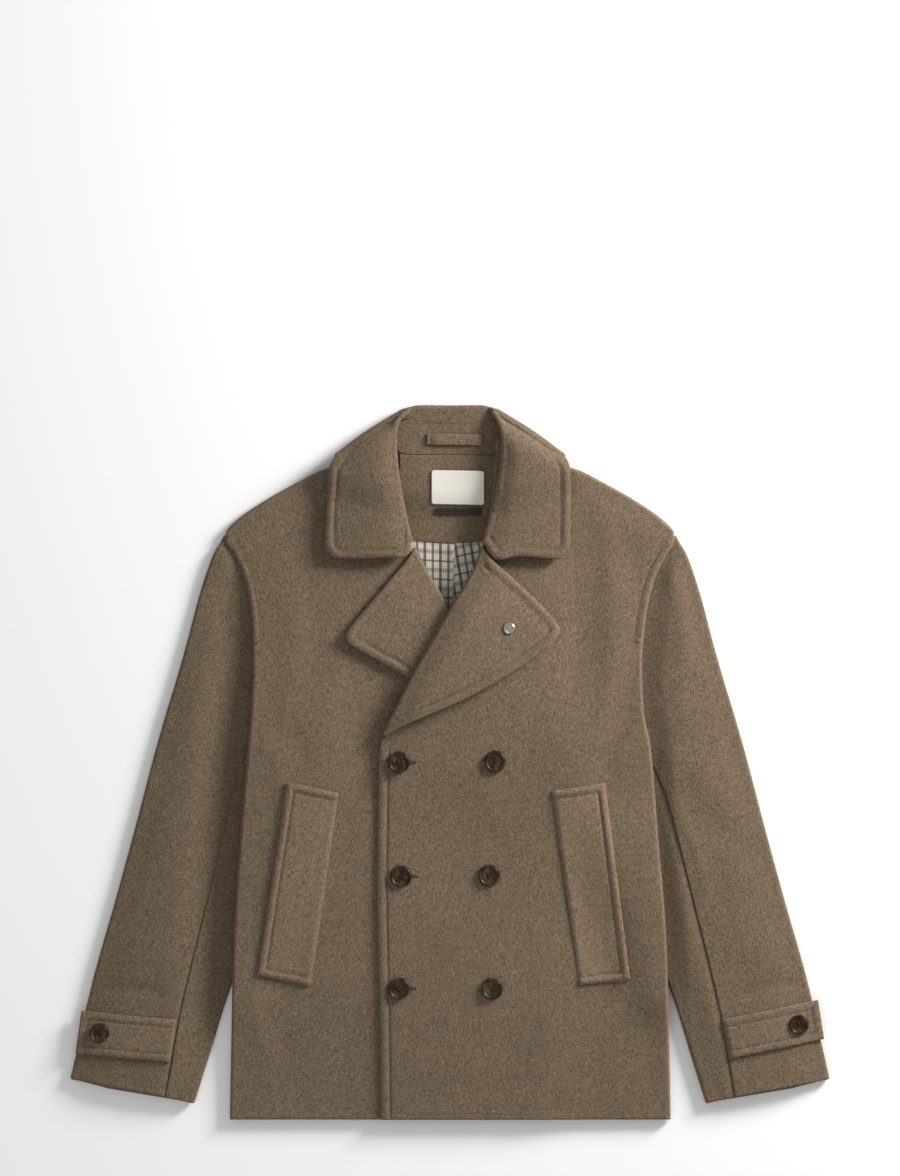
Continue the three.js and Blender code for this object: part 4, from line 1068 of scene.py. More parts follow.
def tube_rows(side, start, rim, end, steps, under_steps):
    """Middle points of a flattened tube's wall: along its face from a seam to the rim, half a turn
    round the rim, and back along the underside to the other seam."""
    half = SLEEVE_CLOTH / 2
    length = np.linalg.norm(start - rim, axis=-1)
    inward = unit(start - rim)
    beside = rim[:, 0] - 6 * np.sign(rim[:, 0] - start[:, 0])
    tall = (sleeve_face(side, beside, rim[:, 1]) - SLEEVE_CLOTH) / 2
    reach = np.minimum(tall, length - half - 2)[:, None]
    turn = rim + inward * (half + reach)
    face = lerp(start[:, None], turn[:, None], steps[None, :, None])
    face_z = sleeve_face(side, face[..., 0], face[..., 1]) - half
    angles = np.radians(np.arange(15, 180, 15))
    bend = turn[:, None] - inward[:, None] * (reach * np.sin(angles))[..., None]
    top = face_z[:, -1:]
    bend_z = lerp(half, top, (1 + np.cos(angles)) / 2)
    under = lerp(end[:, None], turn[:, None], under_steps[::-1][None, :, None])
    under_z = np.full(under.shape[:2], half)
    plan = np.concatenate([face, bend, under], 1)
    return space(SIDES[side], plan, np.concatenate([face_z, bend_z, under_z], 1))


def arm_lines(step, gap=0.0):
    """Plan points of a sleeve's outer edge, inner edge and two seams at each step down the arm, the
    seams a gap further in."""
    paths = {"outer": sleeve_outer, "inner": sleeve_inner, "seam": forearm_seam, "elbow": elbow_seam}
    lines = {}
    for key, path in paths.items():
        y = lerp(UNDERARM_Y, CUFF_FEET[key], step)
        lines[key] = np.stack([path(y) - gap * (key in ("seam", "elbow")), y], -1)
    return lines


def seam_dip(middle, faced, width):
    """How much of a dip each point has beside the seam that the first column follows: 1 on it, and
    none on the underside."""
    dip = np.zeros(middle.shape[:2])
    away = np.linalg.norm(middle[:, :faced, :2] - middle[:, :1, :2], axis=-1)
    dip[:, :faced] = np.exp(-((away / width) ** 2))
    return dip


def upper_sleeve(side):
    """The sleeve head beside the armhole, its top corner drawn in to the shoulder's line, then the
    outer part between the forearm and elbow seams."""
    y = np.linspace(SLEEVE_TOP_Y, UNDERARM_Y + 3, 62)
    tuck = ARMHOLE_TUCK + (SLEEVE_TUCK - ARMHOLE_TUCK) * (1 - smooth(TACK_Y + 10, TACK_Y + 95, y))
    seam = np.stack([body_edge[side](y) - tuck, y], -1)
    drawn_in = 3.4 * smooth(SHOULDER_POINT_Y - 20, SLEEVE_TOP_Y, y)
    rim = np.stack([sleeve_outer(np.minimum(y, SHOULDER_POINT_Y)) - drawn_in, y], -1)
    steps = rim_steps(90, 3.0, (True, False))
    under = np.linspace(0, 1, 12)
    head = tube_rows(side, seam, rim, seam, steps, under)
    arm = arm_lines(rim_steps(ARM_LENGTH, 4.2, (False, True))[1:])
    start = arm["seam"].copy()
    start[:, 0] -= SLEEVE_TUCK * np.clip(1 - np.arange(len(start)) / 12, 0, 1)
    lower = tube_rows(side, start, arm["outer"], arm["elbow"], steps, under)
    middle = np.concatenate([head, lower], 0)
    relief = -1.4 * smooth(60, 10, middle[:, :1, 1]) * seam_dip(middle, len(steps), 4.2)
    at_cuff = np.arange(len(middle))[:, None] > len(middle) / 2
    relief = relief + at_cuff * 0.35 * np.exp(-(((run(middle, 0) - 3.5) / 3) ** 2))
    name = f"sleeve_upper_{side}_cloth"
    return wall(name, middle, SLEEVE_CLOTH, MATERIALS[f"{side}_sleeve"], relief, 2.0)


def under_sleeve(side):
    """The inner part of the sleeve between the two seams, tucked under the body above the elbow."""
    arm = arm_lines(rim_steps(ARM_LENGTH, 4.2), 0.45)
    steps = rim_steps(60, 3.0, (True, False))
    middle = tube_rows(side, arm["seam"], arm["inner"], arm["elbow"], steps, np.linspace(0, 1, 14))
    relief = -1.5 * seam_dip(middle, len(steps), 5.5)
    name = f"sleeve_under_{side}_cloth"
    return wall(name, middle, SLEEVE_CLOTH, MATERIALS[f"{side}_sleeve"], relief, 2.0)


def patch(edges, a, b):
    """A point of the patch between four plan edges: a runs from start to end, b from near to far. It
    is the mix of each pair of edges, less the mix of the four corners."""
    a, b = (share[..., None] for share in np.broadcast_arrays(a, b))
    start, end = edges["start"], edges["end"]
    along = start(b[..., 0]) * (1 - a) + end(b[..., 0]) * a
    across = edges["near"](a[..., 0]) * (1 - b) + edges["far"](a[..., 0]) * b
    zero, one = np.zeros(1), np.ones(1)
    corners = (
        start(zero) * (1 - a) * (1 - b) + start(one) * (1 - a) * b
        + end(zero) * a * (1 - b) + end(one) * a * b
    )
    return along + across - corners


def near_edge(edges, a):
    """Points of a patch's near edge, and the plan direction into the patch there."""
    near = patch(edges, a, 0.0)
    return near, unit(patch(edges, a, 0.3) - near)


def front_at(side, plan):
    """Height of a front's face at plan points given by their outward distance."""
    return front_face(side, SIDES[side] * plan[..., 0], plan[..., 1])


EDGE_STEPS = np.linspace(0, 1, 60)


# Lapels: the roll's angles, the size that rows and columns are spaced for, the gap in the roll, the tip
LAPEL_ANGLES = np.radians([180, 168, 156, 144, 130, 115, 100, 85, 70, 55, 40, 25, 12])
LAPEL_LENGTH = 225
LAPEL_WIDTH = 115
LAPEL_ROLL_GAP = 2.4
TIP_LIFT = 1.6
TIP_REACH = 34


def lapel_edges(side):
    head = LAPEL_HEAD[side]
    first = (head["e"][0], head["y"][0])
    foot, low = np.array(LAPEL_ROLL[0]), rows_of(LAPEL_LOWER[side])
    return {
        "start": lambda b: lerp(foot, low[0], b[..., None]),
        "end": edge(rows_of(head)),
        "near": edge([*LAPEL_ROLL, first]),
        "far": edge(low),
    }


def lapel_height(side, plan, from_roll):
    """Middle height of a lapel's cloth over its front: it rises from the roll line to a broad crest,
    then sinks a little towards its edges."""
    crest = smooth(-6, LAPEL_CREST[side], from_roll)
    crest = crest * (1 - LAPEL_SINK[side] * smooth(30, 115, from_roll))
    return front_at(side, plan) + LAPEL_REST[side] + LAPEL_CLOTH / 2 + LAPEL_RISE[side] * crest


def lapel(side):
    """It starts level with the front's cloth, turns over the roll line and lies on the front."""
    edges = lapel_edges(side)
    half = LAPEL_CLOTH / 2
    a = lerp(0.035, 1, rim_steps(LAPEL_LENGTH, 2.6))
    roll, into = near_edge(edges, a)
    width = np.linalg.norm(patch(edges, a, 1.0) - roll, axis=-1)
    radius = np.minimum((LAPEL_CLOTH + LAPEL_ROLL_GAP + FRONT_CLOTH / 2 - half) / 2, width / 4)
    begin = np.minimum(half, width / 5) + radius
    centre = roll + into * begin[:, None]
    low = front_at(side, centre) - FRONT_CLOTH / 2
    high = lapel_height(side, centre, radius + half)
    bend = centre[:, None] - into[:, None] * (radius[:, None] * np.sin(LAPEL_ANGLES))[..., None]
    bend_z = lerp(low[:, None], high[:, None], (1 + np.cos(LAPEL_ANGLES)) / 2)
    across = rim_steps(LAPEL_WIDTH, 2.3, (False, True))
    fall = patch(edges, a[:, None], lerp((begin / width)[:, None], 1, across[None]))
    from_tip = np.linalg.norm(fall - edges["end"](1.0), axis=-1)
    from_roll = np.linalg.norm(fall - roll[:, None], axis=-1)
    fall_z = lapel_height(side, fall, from_roll) + TIP_LIFT * np.exp(-((from_tip / TIP_REACH) ** 2))
    plan = np.concatenate([bend, fall], 1)
    outer = np.minimum(*(distance_to(edges[key](EDGE_STEPS), plan) for key in ("end", "far")))
    sewn = smooth(0.16, 0.3, a)[:, None] * smooth(8, 18, np.linalg.norm(plan - roll[:, None], axis=-1))
    middle = space(SIDES[side], plan, np.concatenate([bend_z, fall_z], 1))
    material = MATERIALS[f"{side}_lapel"]
    return outward_wall(f"lapel_{side}_cloth", middle, LAPEL_CLOTH, material, sewn * stitched_edge(outer))


def outward_wall(name, middle, thickness, material, relief, radius=1.9):
    """A wall whose outer side, with the relief, is the one that faces up over most of its grid."""
    across = np.cross(np.gradient(middle, axis=1), np.gradient(middle, axis=0))
    if np.median(across[..., 2]) < 0:
        flipped = middle[:, ::-1]
        piece, face = wall(name, flipped, thickness, material, relief[:, ::-1], radius)
        return piece, face[:, ::-1]
    return wall(name, middle, thickness, material, relief, radius)


def lapel_lines(side):
    """Stitch line along a lapel's head and lower edge."""
    edges = lapel_edges(side)
    head = edges["end"](np.linspace(0.12, 1, 120))
    lower = edges["far"](np.linspace(1, 0.2, 120))
    return inset_border(np.vstack([head, lower[1:]]), (60, 150), SIDES[side])


# Collar
collar_fold = edge(rows_of(COLLAR_FOLD))


def reach_at(t):
    """How far the fold over a shoulder stands out, less at the collar's neck and at its outer edge."""
    return lerp(1.2, FOLD_REACH, smooth(0, 0.22, t)) - (FOLD_REACH - 1.6) * smooth(0.72, 1, t)


def fold_point(t, inset):
    """The fold over a shoulder, seen from above, moved in square to itself."""
    t = np.asarray(t, float)
    tangent = unit(collar_fold(np.minimum(t + 0.02, 1)) - collar_fold(np.maximum(t - 0.02, 0)))
    normal = np.stack([tangent[..., 1], -tangent[..., 0]], -1)
    return collar_fold(t) + normal * inset


def shoulder_line(t):
    """Middle of the collar's cloth where it starts to turn over a shoulder."""
    return fold_point(t, (COLLAR_CLOTH / 2 + reach_at(t))[..., None])


# Underside of the collar's underlap at the back neck, and where the leaves' sewn edges end, up the coat
BACK_STAND = 5.6
LEAF_SEWN_TO = (338, 356)
# The collar's columns: under the roll, round it, and down the fall
UNDER_REACH = np.array([COLLAR_UNDERLAP, 20.8, 19.2, 15.5, 12, 9, COLLAR_CLOTH / 2 + ROLL_RADIUS])
BEND_ANGLES = np.arange(15, 166, 15)
BEND_SHARE = np.interp(BEND_ANGLES, [0, 45, 90, 135, 180], [0, 0.35, 0.75, 0.95, 1])
FALL_STEPS = lerp(0.1, 1, rim_steps(98, 2.3, (False, True)))
ON_FALL = len(UNDER_REACH) + len(BEND_ANGLES)


def stations(sign, edges, a, stand, fall_z):
    """Rows of the collar's middle points: under the roll, round it, and down the fall."""
    roll, into = near_edge(edges, a)
    under = roll[:, None] + into[:, None] * UNDER_REACH[None, :, None]
    under_z = np.broadcast_to(stand[:, None], under.shape[:2])
    angles = np.radians(BEND_ANGLES)
    out = COLLAR_CLOTH / 2 + ROLL_RADIUS * (1 - np.sin(angles))
    bend = roll[:, None] + into[:, None] * out[None, :, None]
    bend_z = lerp(fall_z[:, :1], stand[:, None], (1 + np.cos(angles)) / 2)
    plan = np.concatenate([under, bend, patch(edges, a[:, None], FALL_STEPS)], 1)
    return space(sign, plan, np.concatenate([under_z, bend_z, fall_z], 1))


def leaf_edges(side):
    return {
        "start": shoulder_line,
        "end": edge(rows_of(COLLAR_FOOT[side])),
        "near": edge([shoulder_line(0), *rows_of(COLLAR_ROLL[side])]),
        "far": edge([shoulder_line(1), *rows_of(COLLAR_LEAF[side])]),
    }


def collar_leaf(side):
    """Rows of a front leaf from its foot up to the shoulder fold, and the relief of its sewn edges."""
    edges = leaf_edges(side)
    over_front = COLLAR_REST + COLLAR_CLOTH / 2
    a = 1 - rim_steps(150, 3.0, (True, False))
    roll, into = near_edge(edges, a)
    stand = lerp(FOLD_HEIGHT["stand"], front_at(side, roll + into * 8) + over_front, smooth(0, 0.2, a))
    crest = smooth(0.02, 0.3, FALL_STEPS) * (1 - LEAF_SINK[side] * smooth(0.35, 1, FALL_STEPS))
    on_front = front_at(side, patch(edges, a[:, None], FALL_STEPS)) + over_front
    on_front = on_front + (COLLAR_PUFF * crest + LEAF_LIFT)
    over_shoulder = lerp(FOLD_HEIGHT["near"], FOLD_HEIGHT["far"], smooth(0, 0.7, FALL_STEPS))
    risen = 1 - (1 - np.minimum(a / 0.24, 1)) ** 2
    fall_z = lerp(over_shoulder[None], on_front, risen[:, None])
    rows = stations(SIDES[side], edges, a, stand, fall_z)
    plan = rows[..., :2] * [SIDES[side], 1]
    outer, foot = (distance_to(edges[key](EDGE_STEPS), plan) for key in ("far", "end"))
    outer_line = np.where(foot > STITCH_INSET, outer, np.inf)
    foot_line = np.where(outer > STITCH_INSET, foot, np.inf)
    sewn = groove(np.minimum(outer_line, foot_line) - STITCH_INSET)
    down = 1 - smooth(*LEAF_SEWN_TO, rows[..., 1])
    relief = down * (swell(np.minimum(outer, foot)) + sewn)
    relief[:, :ON_FALL] = 0
    return rows, relief


def arch(end, middle_y, power):
    """A level plan line that bends at its ends, to a point on the left and its mirror on the right."""
    return lambda a: np.stack(
        [lerp(-end[0], end[0], a), lerp(middle_y, end[1], (2 * a - 1) ** power)], -1)


def collar_back():
    """Rows of the fall under the back neck, from the right shoulder fold to the left one."""
    edges = {
        "start": lambda b: shoulder_line(b) * [-1, 1],
        "end": shoulder_line,
        "near": arch(shoulder_line(0), COLLAR_TOP_Y, 8),
        "far": arch(shoulder_line(1), FALL_EDGE_Y, 2),
    }
    a = np.linspace(0, 1, 70)
    stand = np.full(len(a), BACK_STAND + COLLAR_CLOTH / 2)
    return stations(1, edges, a, stand, np.full((len(a), len(FALL_STEPS)), COLLAR_CLOTH / 2))


def collar_turn(side, leaf_end, back_end):
    """Rows round a shoulder fold: half a turn from the leaf's last row to the back's first one, pushed
    out square to the fold by its reach."""
    sign = SIDES[side]
    angles = np.radians(np.arange(12, 169, 12))[:, None]
    across = np.concatenate([np.zeros(ON_FALL), FALL_STEPS])
    share = np.concatenate([np.zeros(len(UNDER_REACH)), BEND_SHARE, np.ones(len(FALL_STEPS))])
    push = unit(fold_point(across, 0) - fold_point(across, 10)) * [sign, 1]
    part = (1 - np.cos(angles)) / 2
    rows = lerp(leaf_end[None], back_end[None], part[..., None])
    rows[..., :2] += push[None] * (reach_at(across) * np.sin(angles) * share)[..., None]
    return rows


def collar():
    """One band: the right leaf from its foot, over the right shoulder, behind the neck, to the left."""
    right, right_relief = collar_leaf("right")
    left, left_relief = (rows[::-1] for rows in collar_leaf("left"))
    back = collar_back()
    right_turn = collar_turn("right", right[-1], back[0])
    left_turn = collar_turn("left", left[0], back[-1])[::-1]
    middle = np.concatenate([right, right_turn, back, left_turn, left])
    relief = np.zeros(middle.shape[:2])
    relief[:len(right)] = right_relief
    relief[-len(left):] = left_relief
    return outward_wall("collar_cloth", middle, COLLAR_CLOTH, MATERIALS["collar"], relief, 2.1)


def collar_lines(side):
    """Stitch line of a front leaf: down its outer edge and along its foot."""
    edges = leaf_edges(side)
    outer = edges["far"](np.linspace(0.06, 1, 100))
    foot = edges["end"](np.linspace(1, 0.22, 100))
    return inset_border(np.vstack([outer, foot[1:]]), (90, 290), SIDES[side])


# Neck
FACING_FOLDS = table("x0 y0 x1 y1 width height", [
    (-38, 340, -20, 262, 12, 0.5),
    (44, 330, 30, 256, 9, -0.5),
])
STAND_FOOT = FALL_LIFT + 0.1
STAND_FACE = STAND_FOOT + COLLAR_CLOTH - 0.4


def facing_foot(x):
    return FACING_FOOT_Y + 7 * (x / FACING_HALF_WIDTH) ** 2


def on_back(x, y):
    """Height at which the facing and the lining lie on the back panel."""
    return under_back(x, y) + BACK_CLOTH + SEAM_GAP


def neck_line(x):
    return NECK_SEAM_Y + (NECK_Y - NECK_SEAM_Y) * (x / STAND_HALF_WIDTH) ** 18


def back_neck_facing():
    """From the neck seam down to its curved foot, over the slope to the collar's fall."""
    x = lerp(-FACING_HALF_WIDTH, FACING_HALF_WIDTH, rim_steps(116, 3.0))[None, :]
    rise = rim_steps(102, 2.8)[:, None]
    y = lerp(facing_foot(x), neck_line(x) - 0.05, rise)
    x = np.broadcast_to(x, y.shape)
    top = on_back(x, y) + FACING_CLOTH + folds(x, y, FACING_FOLDS)
    dip = np.exp(-(((neck_line(x) - y) / 1.5) ** 2)) * 0.5 + 0.45
    plan = np.stack([x, y], -1)
    return layer("back_neck_facing_cloth", plan, top - dip, FACING_CLOTH, MATERIALS["facing"], 0.6)


def pleat_at(y):
    """Where the lining's leaning pleat stands, beside the middle."""
    return 4.5 + 0.03 * (y - 230)


def lining():
    """From under the facing down to the meeting of the fronts. A soft pleat stands beside the middle,
    where the check steps down and leans."""
    rise = rim_steps(90, 1.6)[:, None]
    across = lerp(-FACING_HALF_WIDTH, FACING_HALF_WIDTH, rim_steps(116, 1.5))[None, :]
    x = across * lerp(0.5, 1, rise)
    y = lerp(LINING_FOOT_Y, facing_foot(x) - SEAM_GAP, rise)
    past = x - pleat_at(y)
    ridge = 1.5 * np.exp(-(((past + 2.5) / 3.2) ** 2)) - 0.7 * np.exp(-(((past - 2) / 2.2) ** 2))
    waves = 0.5 * np.sin(x / 6.5 + 0.6) + 0.35 * np.sin((x + 0.3 * y) / 11)
    free = smooth(0, 0.1, rise) * (1 - smooth(0.93, 1, rise))
    top = on_back(x, y) + LINING_CLOTH + (ridge + waves) * free
    plan = np.stack([x, y], -1)
    piece, face = layer("lining_cloth", plan, top, LINING_CLOTH - 0.2, MATERIALS["lining"], 0.8)
    mesh = piece.data
    points = np.zeros(len(mesh.vertices) * 3)
    mesh.vertices.foreach_get("co", points)
    px, py = points.reshape(-1, 3)[:, :2].T / MM
    right_of = smooth(-1.2, 1.2, px - pleat_at(py))
    lean = right_of * (0.16 * (py - 252) + 1.2)
    step = right_of * (-5.2 - 0.22 * (px - 4)) + 0.06 * px * (1 - right_of)
    uv = np.stack([px + lean, py + step], 1) * MM
    layer_of = mesh.uv_layers.new(name="cloth")
    loops = np.zeros(len(mesh.loops), np.int32)
    mesh.loops.foreach_get("vertex_index", loops)
    layer_of.data.foreach_set("uv", uv[loops].astype(np.float32).ravel())
    return piece, face


def collar_stand():
    """The band between the neck seam and the collar's fold, with a sewn line at the collar seam."""
    x = lerp(-STAND_HALF_WIDTH, STAND_HALF_WIDTH, rim_steps(130, 2.6))[None, :]
    head = COLLAR_SEAM_Y + 6.2 - 8 * (x / STAND_HALF_WIDTH) ** 10
    y = lerp(neck_line(x) + 0.05, head, rim_steps(36, 1.1)[:, None])
    x = np.broadcast_to(x, y.shape)
    top = STAND_FACE + 0.1 + 0.12 * np.sin(x / 13) + groove(COLLAR_SEAM_Y - y, 0.6, 1.0)
    return layer("collar_stand_cloth", np.stack([x, y], -1), top, 3.6, MATERIALS["facing"], 0.9)


def box_grid(box, spacing, turn=0.0):
    """A grid of plan points over a box, close together at its rim."""
    wide, tall = box["right"] - box["left"], box["head"] - box["foot"]
    x = lerp(box["left"], box["right"], rim_steps(wide, spacing))[None, :]
    y = lerp(box["foot"], box["head"], rim_steps(tall, spacing))[:, None]
    x, y = np.broadcast_arrays(x, y)
    middle = (box["left"] + box["right"]) / 2
    return np.stack([x, y + turn * (x - middle)], -1)


def hanger_loop():
    """A folded strip sewn down at both ends and standing a little off the stand between them."""
    plan = box_grid(LOOP, 1.3, -0.012)
    x, y = plan[..., 0], plan[..., 1]
    t = 2 * (x - LOOP["left"]) / (LOOP["right"] - LOOP["left"]) - 1
    middle = (y - (LOOP["foot"] + LOOP["head"]) / 2) / 6.4
    top = STAND_FACE + SEAM_GAP + LOOP_CLOTH + LOOP["rise"] * (1 - smooth(0.62, 0.93, np.abs(t)))
    top = top + 0.5 * (1 - middle**2) + groove(np.abs(t) * 32 - 28.5, 0.8, 1.0)
    return layer("hanger_loop_cloth", plan, top, LOOP_CLOTH, MATERIALS["trim"], 1.1)


def rounded(plan, box, radius):
    """Plan points of a box with its corners drawn in to quarter circles."""
    middle = np.array([(box["left"] + box["right"]) / 2, (box["foot"] + box["head"]) / 2])
    half = np.array([box["right"] - box["left"], box["head"] - box["foot"]]) / 2
    local = plan - middle
    over = np.maximum(np.abs(local) - (half - radius), 0)
    length = np.linalg.norm(over, axis=-1, keepdims=True)
    longest = over.max(-1, keepdims=True)
    scale = np.where(length > 0, longest / np.maximum(length, 1e-9), 1)
    return middle + np.sign(local) * (np.minimum(np.abs(local), half - radius) + over * scale)


def label(name, box, material, corner, tilt):
    """A plain sewn-in label with rounded corners: flat, with one corner a hair off the facing."""
    plan = rounded(box_grid(box, 1.8), box, corner)
    x, y = plan[..., 0], plan[..., 1]
    lift = tilt * smooth(box["left"], box["right"], x) * smooth(box["foot"], box["head"], y)
    top = on_back(x, y) + FACING_CLOTH + LABEL_REST + LABEL_CLOTH + lift
    plan = plan + np.stack([0 * x, -0.015 * (x - box["left"])], -1)
    return layer(name, plan, top, LABEL_CLOTH, MATERIALS[material], 0.6)


# Applied pieces
def band(side, corners, across, up):
    """A grid of plan points over a four-cornered band, and their distances from its free edges and
    from its sewn one."""
    a, b, c, d = rows_of(corners) * [SIDES[side], 1]
    part, rise = across[None, :, None], up[:, None, None]
    plan = lerp(lerp(a, b, part), lerp(d, c, part), rise)
    free = np.minimum.reduce([distance_to(np.array(pair), plan) for pair in ((d, a), (a, b), (c, d))])
    return plan, free, distance_to(np.array([b, c]), plan)


def band_lines(side, corners, inset):
    """Straight stitch lines at an inset inside a band's three free edges, cut where they meet."""
    corners = rows_of(corners) * [SIDES[side], 1]
    ends = np.roll(corners, -1, axis=0)
    along = unit(ends - corners)
    normal = np.stack([-along[:, 1], along[:, 0]], 1)
    normal *= np.sign(((corners.mean(0) - corners) * normal).sum(1))[:, None]
    moved = corners + normal * np.array([inset, 0, inset, inset])[:, None]

    def meet(p, q):
        u, v, apart = along[p], along[q], moved[q] - moved[p]
        return moved[p] + u * (apart[0] * v[1] - apart[1] * v[0]) / (u[0] * v[1] - u[1] * v[0])

    return [np.array([meet(k - 1, k), meet(k, (k + 1) % 4)]) for k in (0, 2, 3)]


def pocket_welt(side):
    """A slanted band: its inner long edge is sewn flush to the front, the others are topstitched."""
    plan, free, inner = band(side, WELT_CORNERS[side], rim_steps(60, 1.5), rim_steps(224, 1.9))
    x, y = plan[..., 0], plan[..., 1]
    lift = WELT_REST[side] + WELT_CLOTH
    top = front_face(side, x, y) + lift + stitched_edge(free, WELT_INSET)
    top = top - (lift - 1.4) * (1 - smooth(0, 4.5, inner))
    bow = 0.7 * np.sin(np.pi * (y - y.min()) / (y.max() - y.min())) ** 2
    name = f"pocket_welt_{side}_cloth"
    # The welt on the wearer's left takes the much lighter copy of the wool, which is painted light
    material = MATERIALS["left_welt_painted_light" if side == "left" else "trim"]
    return layer(name, plan, top + bow, WELT_CLOTH, material, 1.8, np.minimum(free, inner))


def cuff_strap(side):
    """A tab caught in the forearm seam, topstitched round its free edges, with a blunt outer end."""
    plan, free, inner = band(side, STRAP_CORNERS[side], rim_steps(112, 1.8), rim_steps(50, 1.5))
    x, y = plan[..., 0], plan[..., 1]
    held = np.minimum(np.abs(x), sleeve_outer(y) - 4)
    top = sleeve_face(side, held, y) + SEAM_GAP + STRAP_CLOTH + stitched_edge(free, STRAP_INSET, 0.8, 0.5)
    top = top - 1.6 * (1 - smooth(0, 5, inner))
    name, rim = f"cuff_strap_{side}_cloth", np.minimum(free, inner)
    return layer(name, plan, top, STRAP_CLOTH - 0.2, MATERIALS["trim"], 1.8, rim)


# Buttons and stud: sections as shares of the radius and the height, and the four holes
BUTTON_FACE = table("r z", [
    (0, 0.6), (0.4, 0.62), (0.62, 0.66), (0.72, 0.72), (0.77, 0.8), (0.8, 0.93),
    (0.835, 1.0), (0.87, 0.97), (0.9, 0.84), (0.935, 0.87), (0.97, 0.76), (1.0, 0.5),
])
BUTTON_BACK = table("r z", [(0.985, 0.3), (0.9, 0.08), (0.6, 0.0), (0.02, 0.0)])
STUD_SECTION = table("r z", [
    (0.02, 1.0), (0.3, 0.985), (0.55, 0.93), (0.74, 0.84), (0.86, 0.72), (0.94, 0.56),
    (0.985, 0.4), (1.0, 0.26), (0.985, 0.12), (0.94, 0.03), (0.7, 0.0), (0.02, 0.0),
])
HOLE_PLACE = 1.95
HOLE_DEPTH = 2.0


def rings_of(r, z, count):
    """Rings of points about an upright axis, from their radii and heights."""
    r, z, angles = np.broadcast_arrays(r[:, None], z[:, None], angles_round(count))
    return np.stack([r * np.cos(angles), r * np.sin(angles), z], -1)


def round_solid(name, rings, place, turn, material):
    """A closed piece from rings of points, turned and put at a place, with a middle point at the top
    and one in the underside."""
    count = rings.shape[1]
    top, under = [0, 0, rings[0, :, 2].mean()], [0, 0, 0]
    points = np.concatenate([rings.reshape(-1, 3), [top, under]])
    points[:, 0], points[:, 1] = turned(points[:, 0], points[:, 1], turn)
    grid = np.arange(rings.shape[0] * count).reshape(-1, count)
    after = np.roll(grid, -1, axis=1)
    walls = np.stack([grid[:-1], grid[1:], after[1:], after[:-1]], -1).reshape(-1, 4)
    pairs = np.arange(0, count, 2)
    beyond = (pairs + 1) % count
    middle = np.full(len(pairs), len(points) - 1)
    cap = np.stack([middle - 1, grid[0, pairs], after[0, pairs], after[0, beyond]], -1)
    base = np.stack([middle, after[-1, beyond], after[-1, pairs], grid[-1, pairs]], -1)
    return add_mesh(name, points + place, np.concatenate([walls, cap, base]), material)


def button(name, node, place, radius, turn):
    """A round button: raised rim, dished middle and four holes. Its height over a point falls to the
    hole's floor within a hole's radius of its centre."""
    r = np.concatenate([np.linspace(0.02, 0.62, 44), np.linspace(0.635, 1, 32)])
    face = rings_of(radius * r, curve(BUTTON_FACE["r"], BUTTON_FACE["z"])(r) * BUTTON_HEIGHT, 96)
    corners = [(-1, -1), (-1, 1), (1, -1), (1, 1)]
    holes = [np.linalg.norm(face[..., :2] - HOLE_PLACE * np.array(corner), axis=-1) for corner in corners]
    face[..., 2] -= HOLE_DEPTH * (1 - smooth(0.95, 1.35, np.minimum.reduce(holes)))
    back = rings_of(radius * BUTTON_BACK["r"], BUTTON_HEIGHT * BUTTON_BACK["z"], 96)
    material = horn(f"horn_{node}", turn * 1.7 + 35)
    piece = round_solid(name, np.concatenate([face, back]), place, turn, material)
    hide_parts(node)
    sewn_threads(f"{name}_thread", place, turn)


def tube(path, radius, sides=8):
    """Points and quads of a round tube along a path, drawn to a blunt point at both ends."""
    path = np.asarray(path, float)
    along = unit(np.gradient(path, axis=0))
    side = unit(np.cross(along, [0.0, 0.03, 1.0]))
    up = np.cross(side, along)
    angles = angles_round(sides)
    thin = np.full(len(path), radius)
    thin[[0, -1]] = radius * 0.25
    ring = side[:, None] * np.cos(angles)[None, :, None] + up[:, None] * np.sin(angles)[None, :, None]
    points = path[:, None] + thin[:, None, None] * ring
    grid = np.arange(len(path) * sides).reshape(-1, sides)
    after = np.roll(grid, -1, axis=1)
    faces = np.stack([grid[:-1], after[:-1], after[1:], grid[1:]], -1).reshape(-1, 4)
    caps = []
    for end in (grid[0, ::-1], grid[-1]):
        caps += [end[[0, k, k + 1, k + 2]] for k in (1, 3, 5)]
    return points.reshape(-1, 3), np.concatenate([faces, np.array(caps)])


def threads(name, paths, radius, material, slot):
    """Several strands of thread as one piece."""
    offset, points, faces = 0, [], []
    for path in paths:
        strand, quads = tube(path, radius)
        points.append(strand)
        faces.append(quads + offset)
        offset += len(strand)
    piece = add_mesh(name, np.concatenate(points), np.concatenate(faces), MATERIALS[material])
    return piece


def sewn_threads(name, place, turn):
    """Two pairs of thread strands between a button's holes."""
    t = np.linspace(-1, 1, 13)
    paths = []
    for row in (-HOLE_PLACE, HOLE_PLACE):
        for shift in (-0.28, 0.28):
            x, y = turned(t * HOLE_PLACE, row + shift, turn)
            z = BUTTON_HEIGHT * 0.62 + 0.55 - 1.9 * np.abs(t) ** 7
            paths.append(np.stack([x, y, z], 1) + place)
    threads(name, paths, 0.3, "dark_thread_and_slit_shade", "horn")


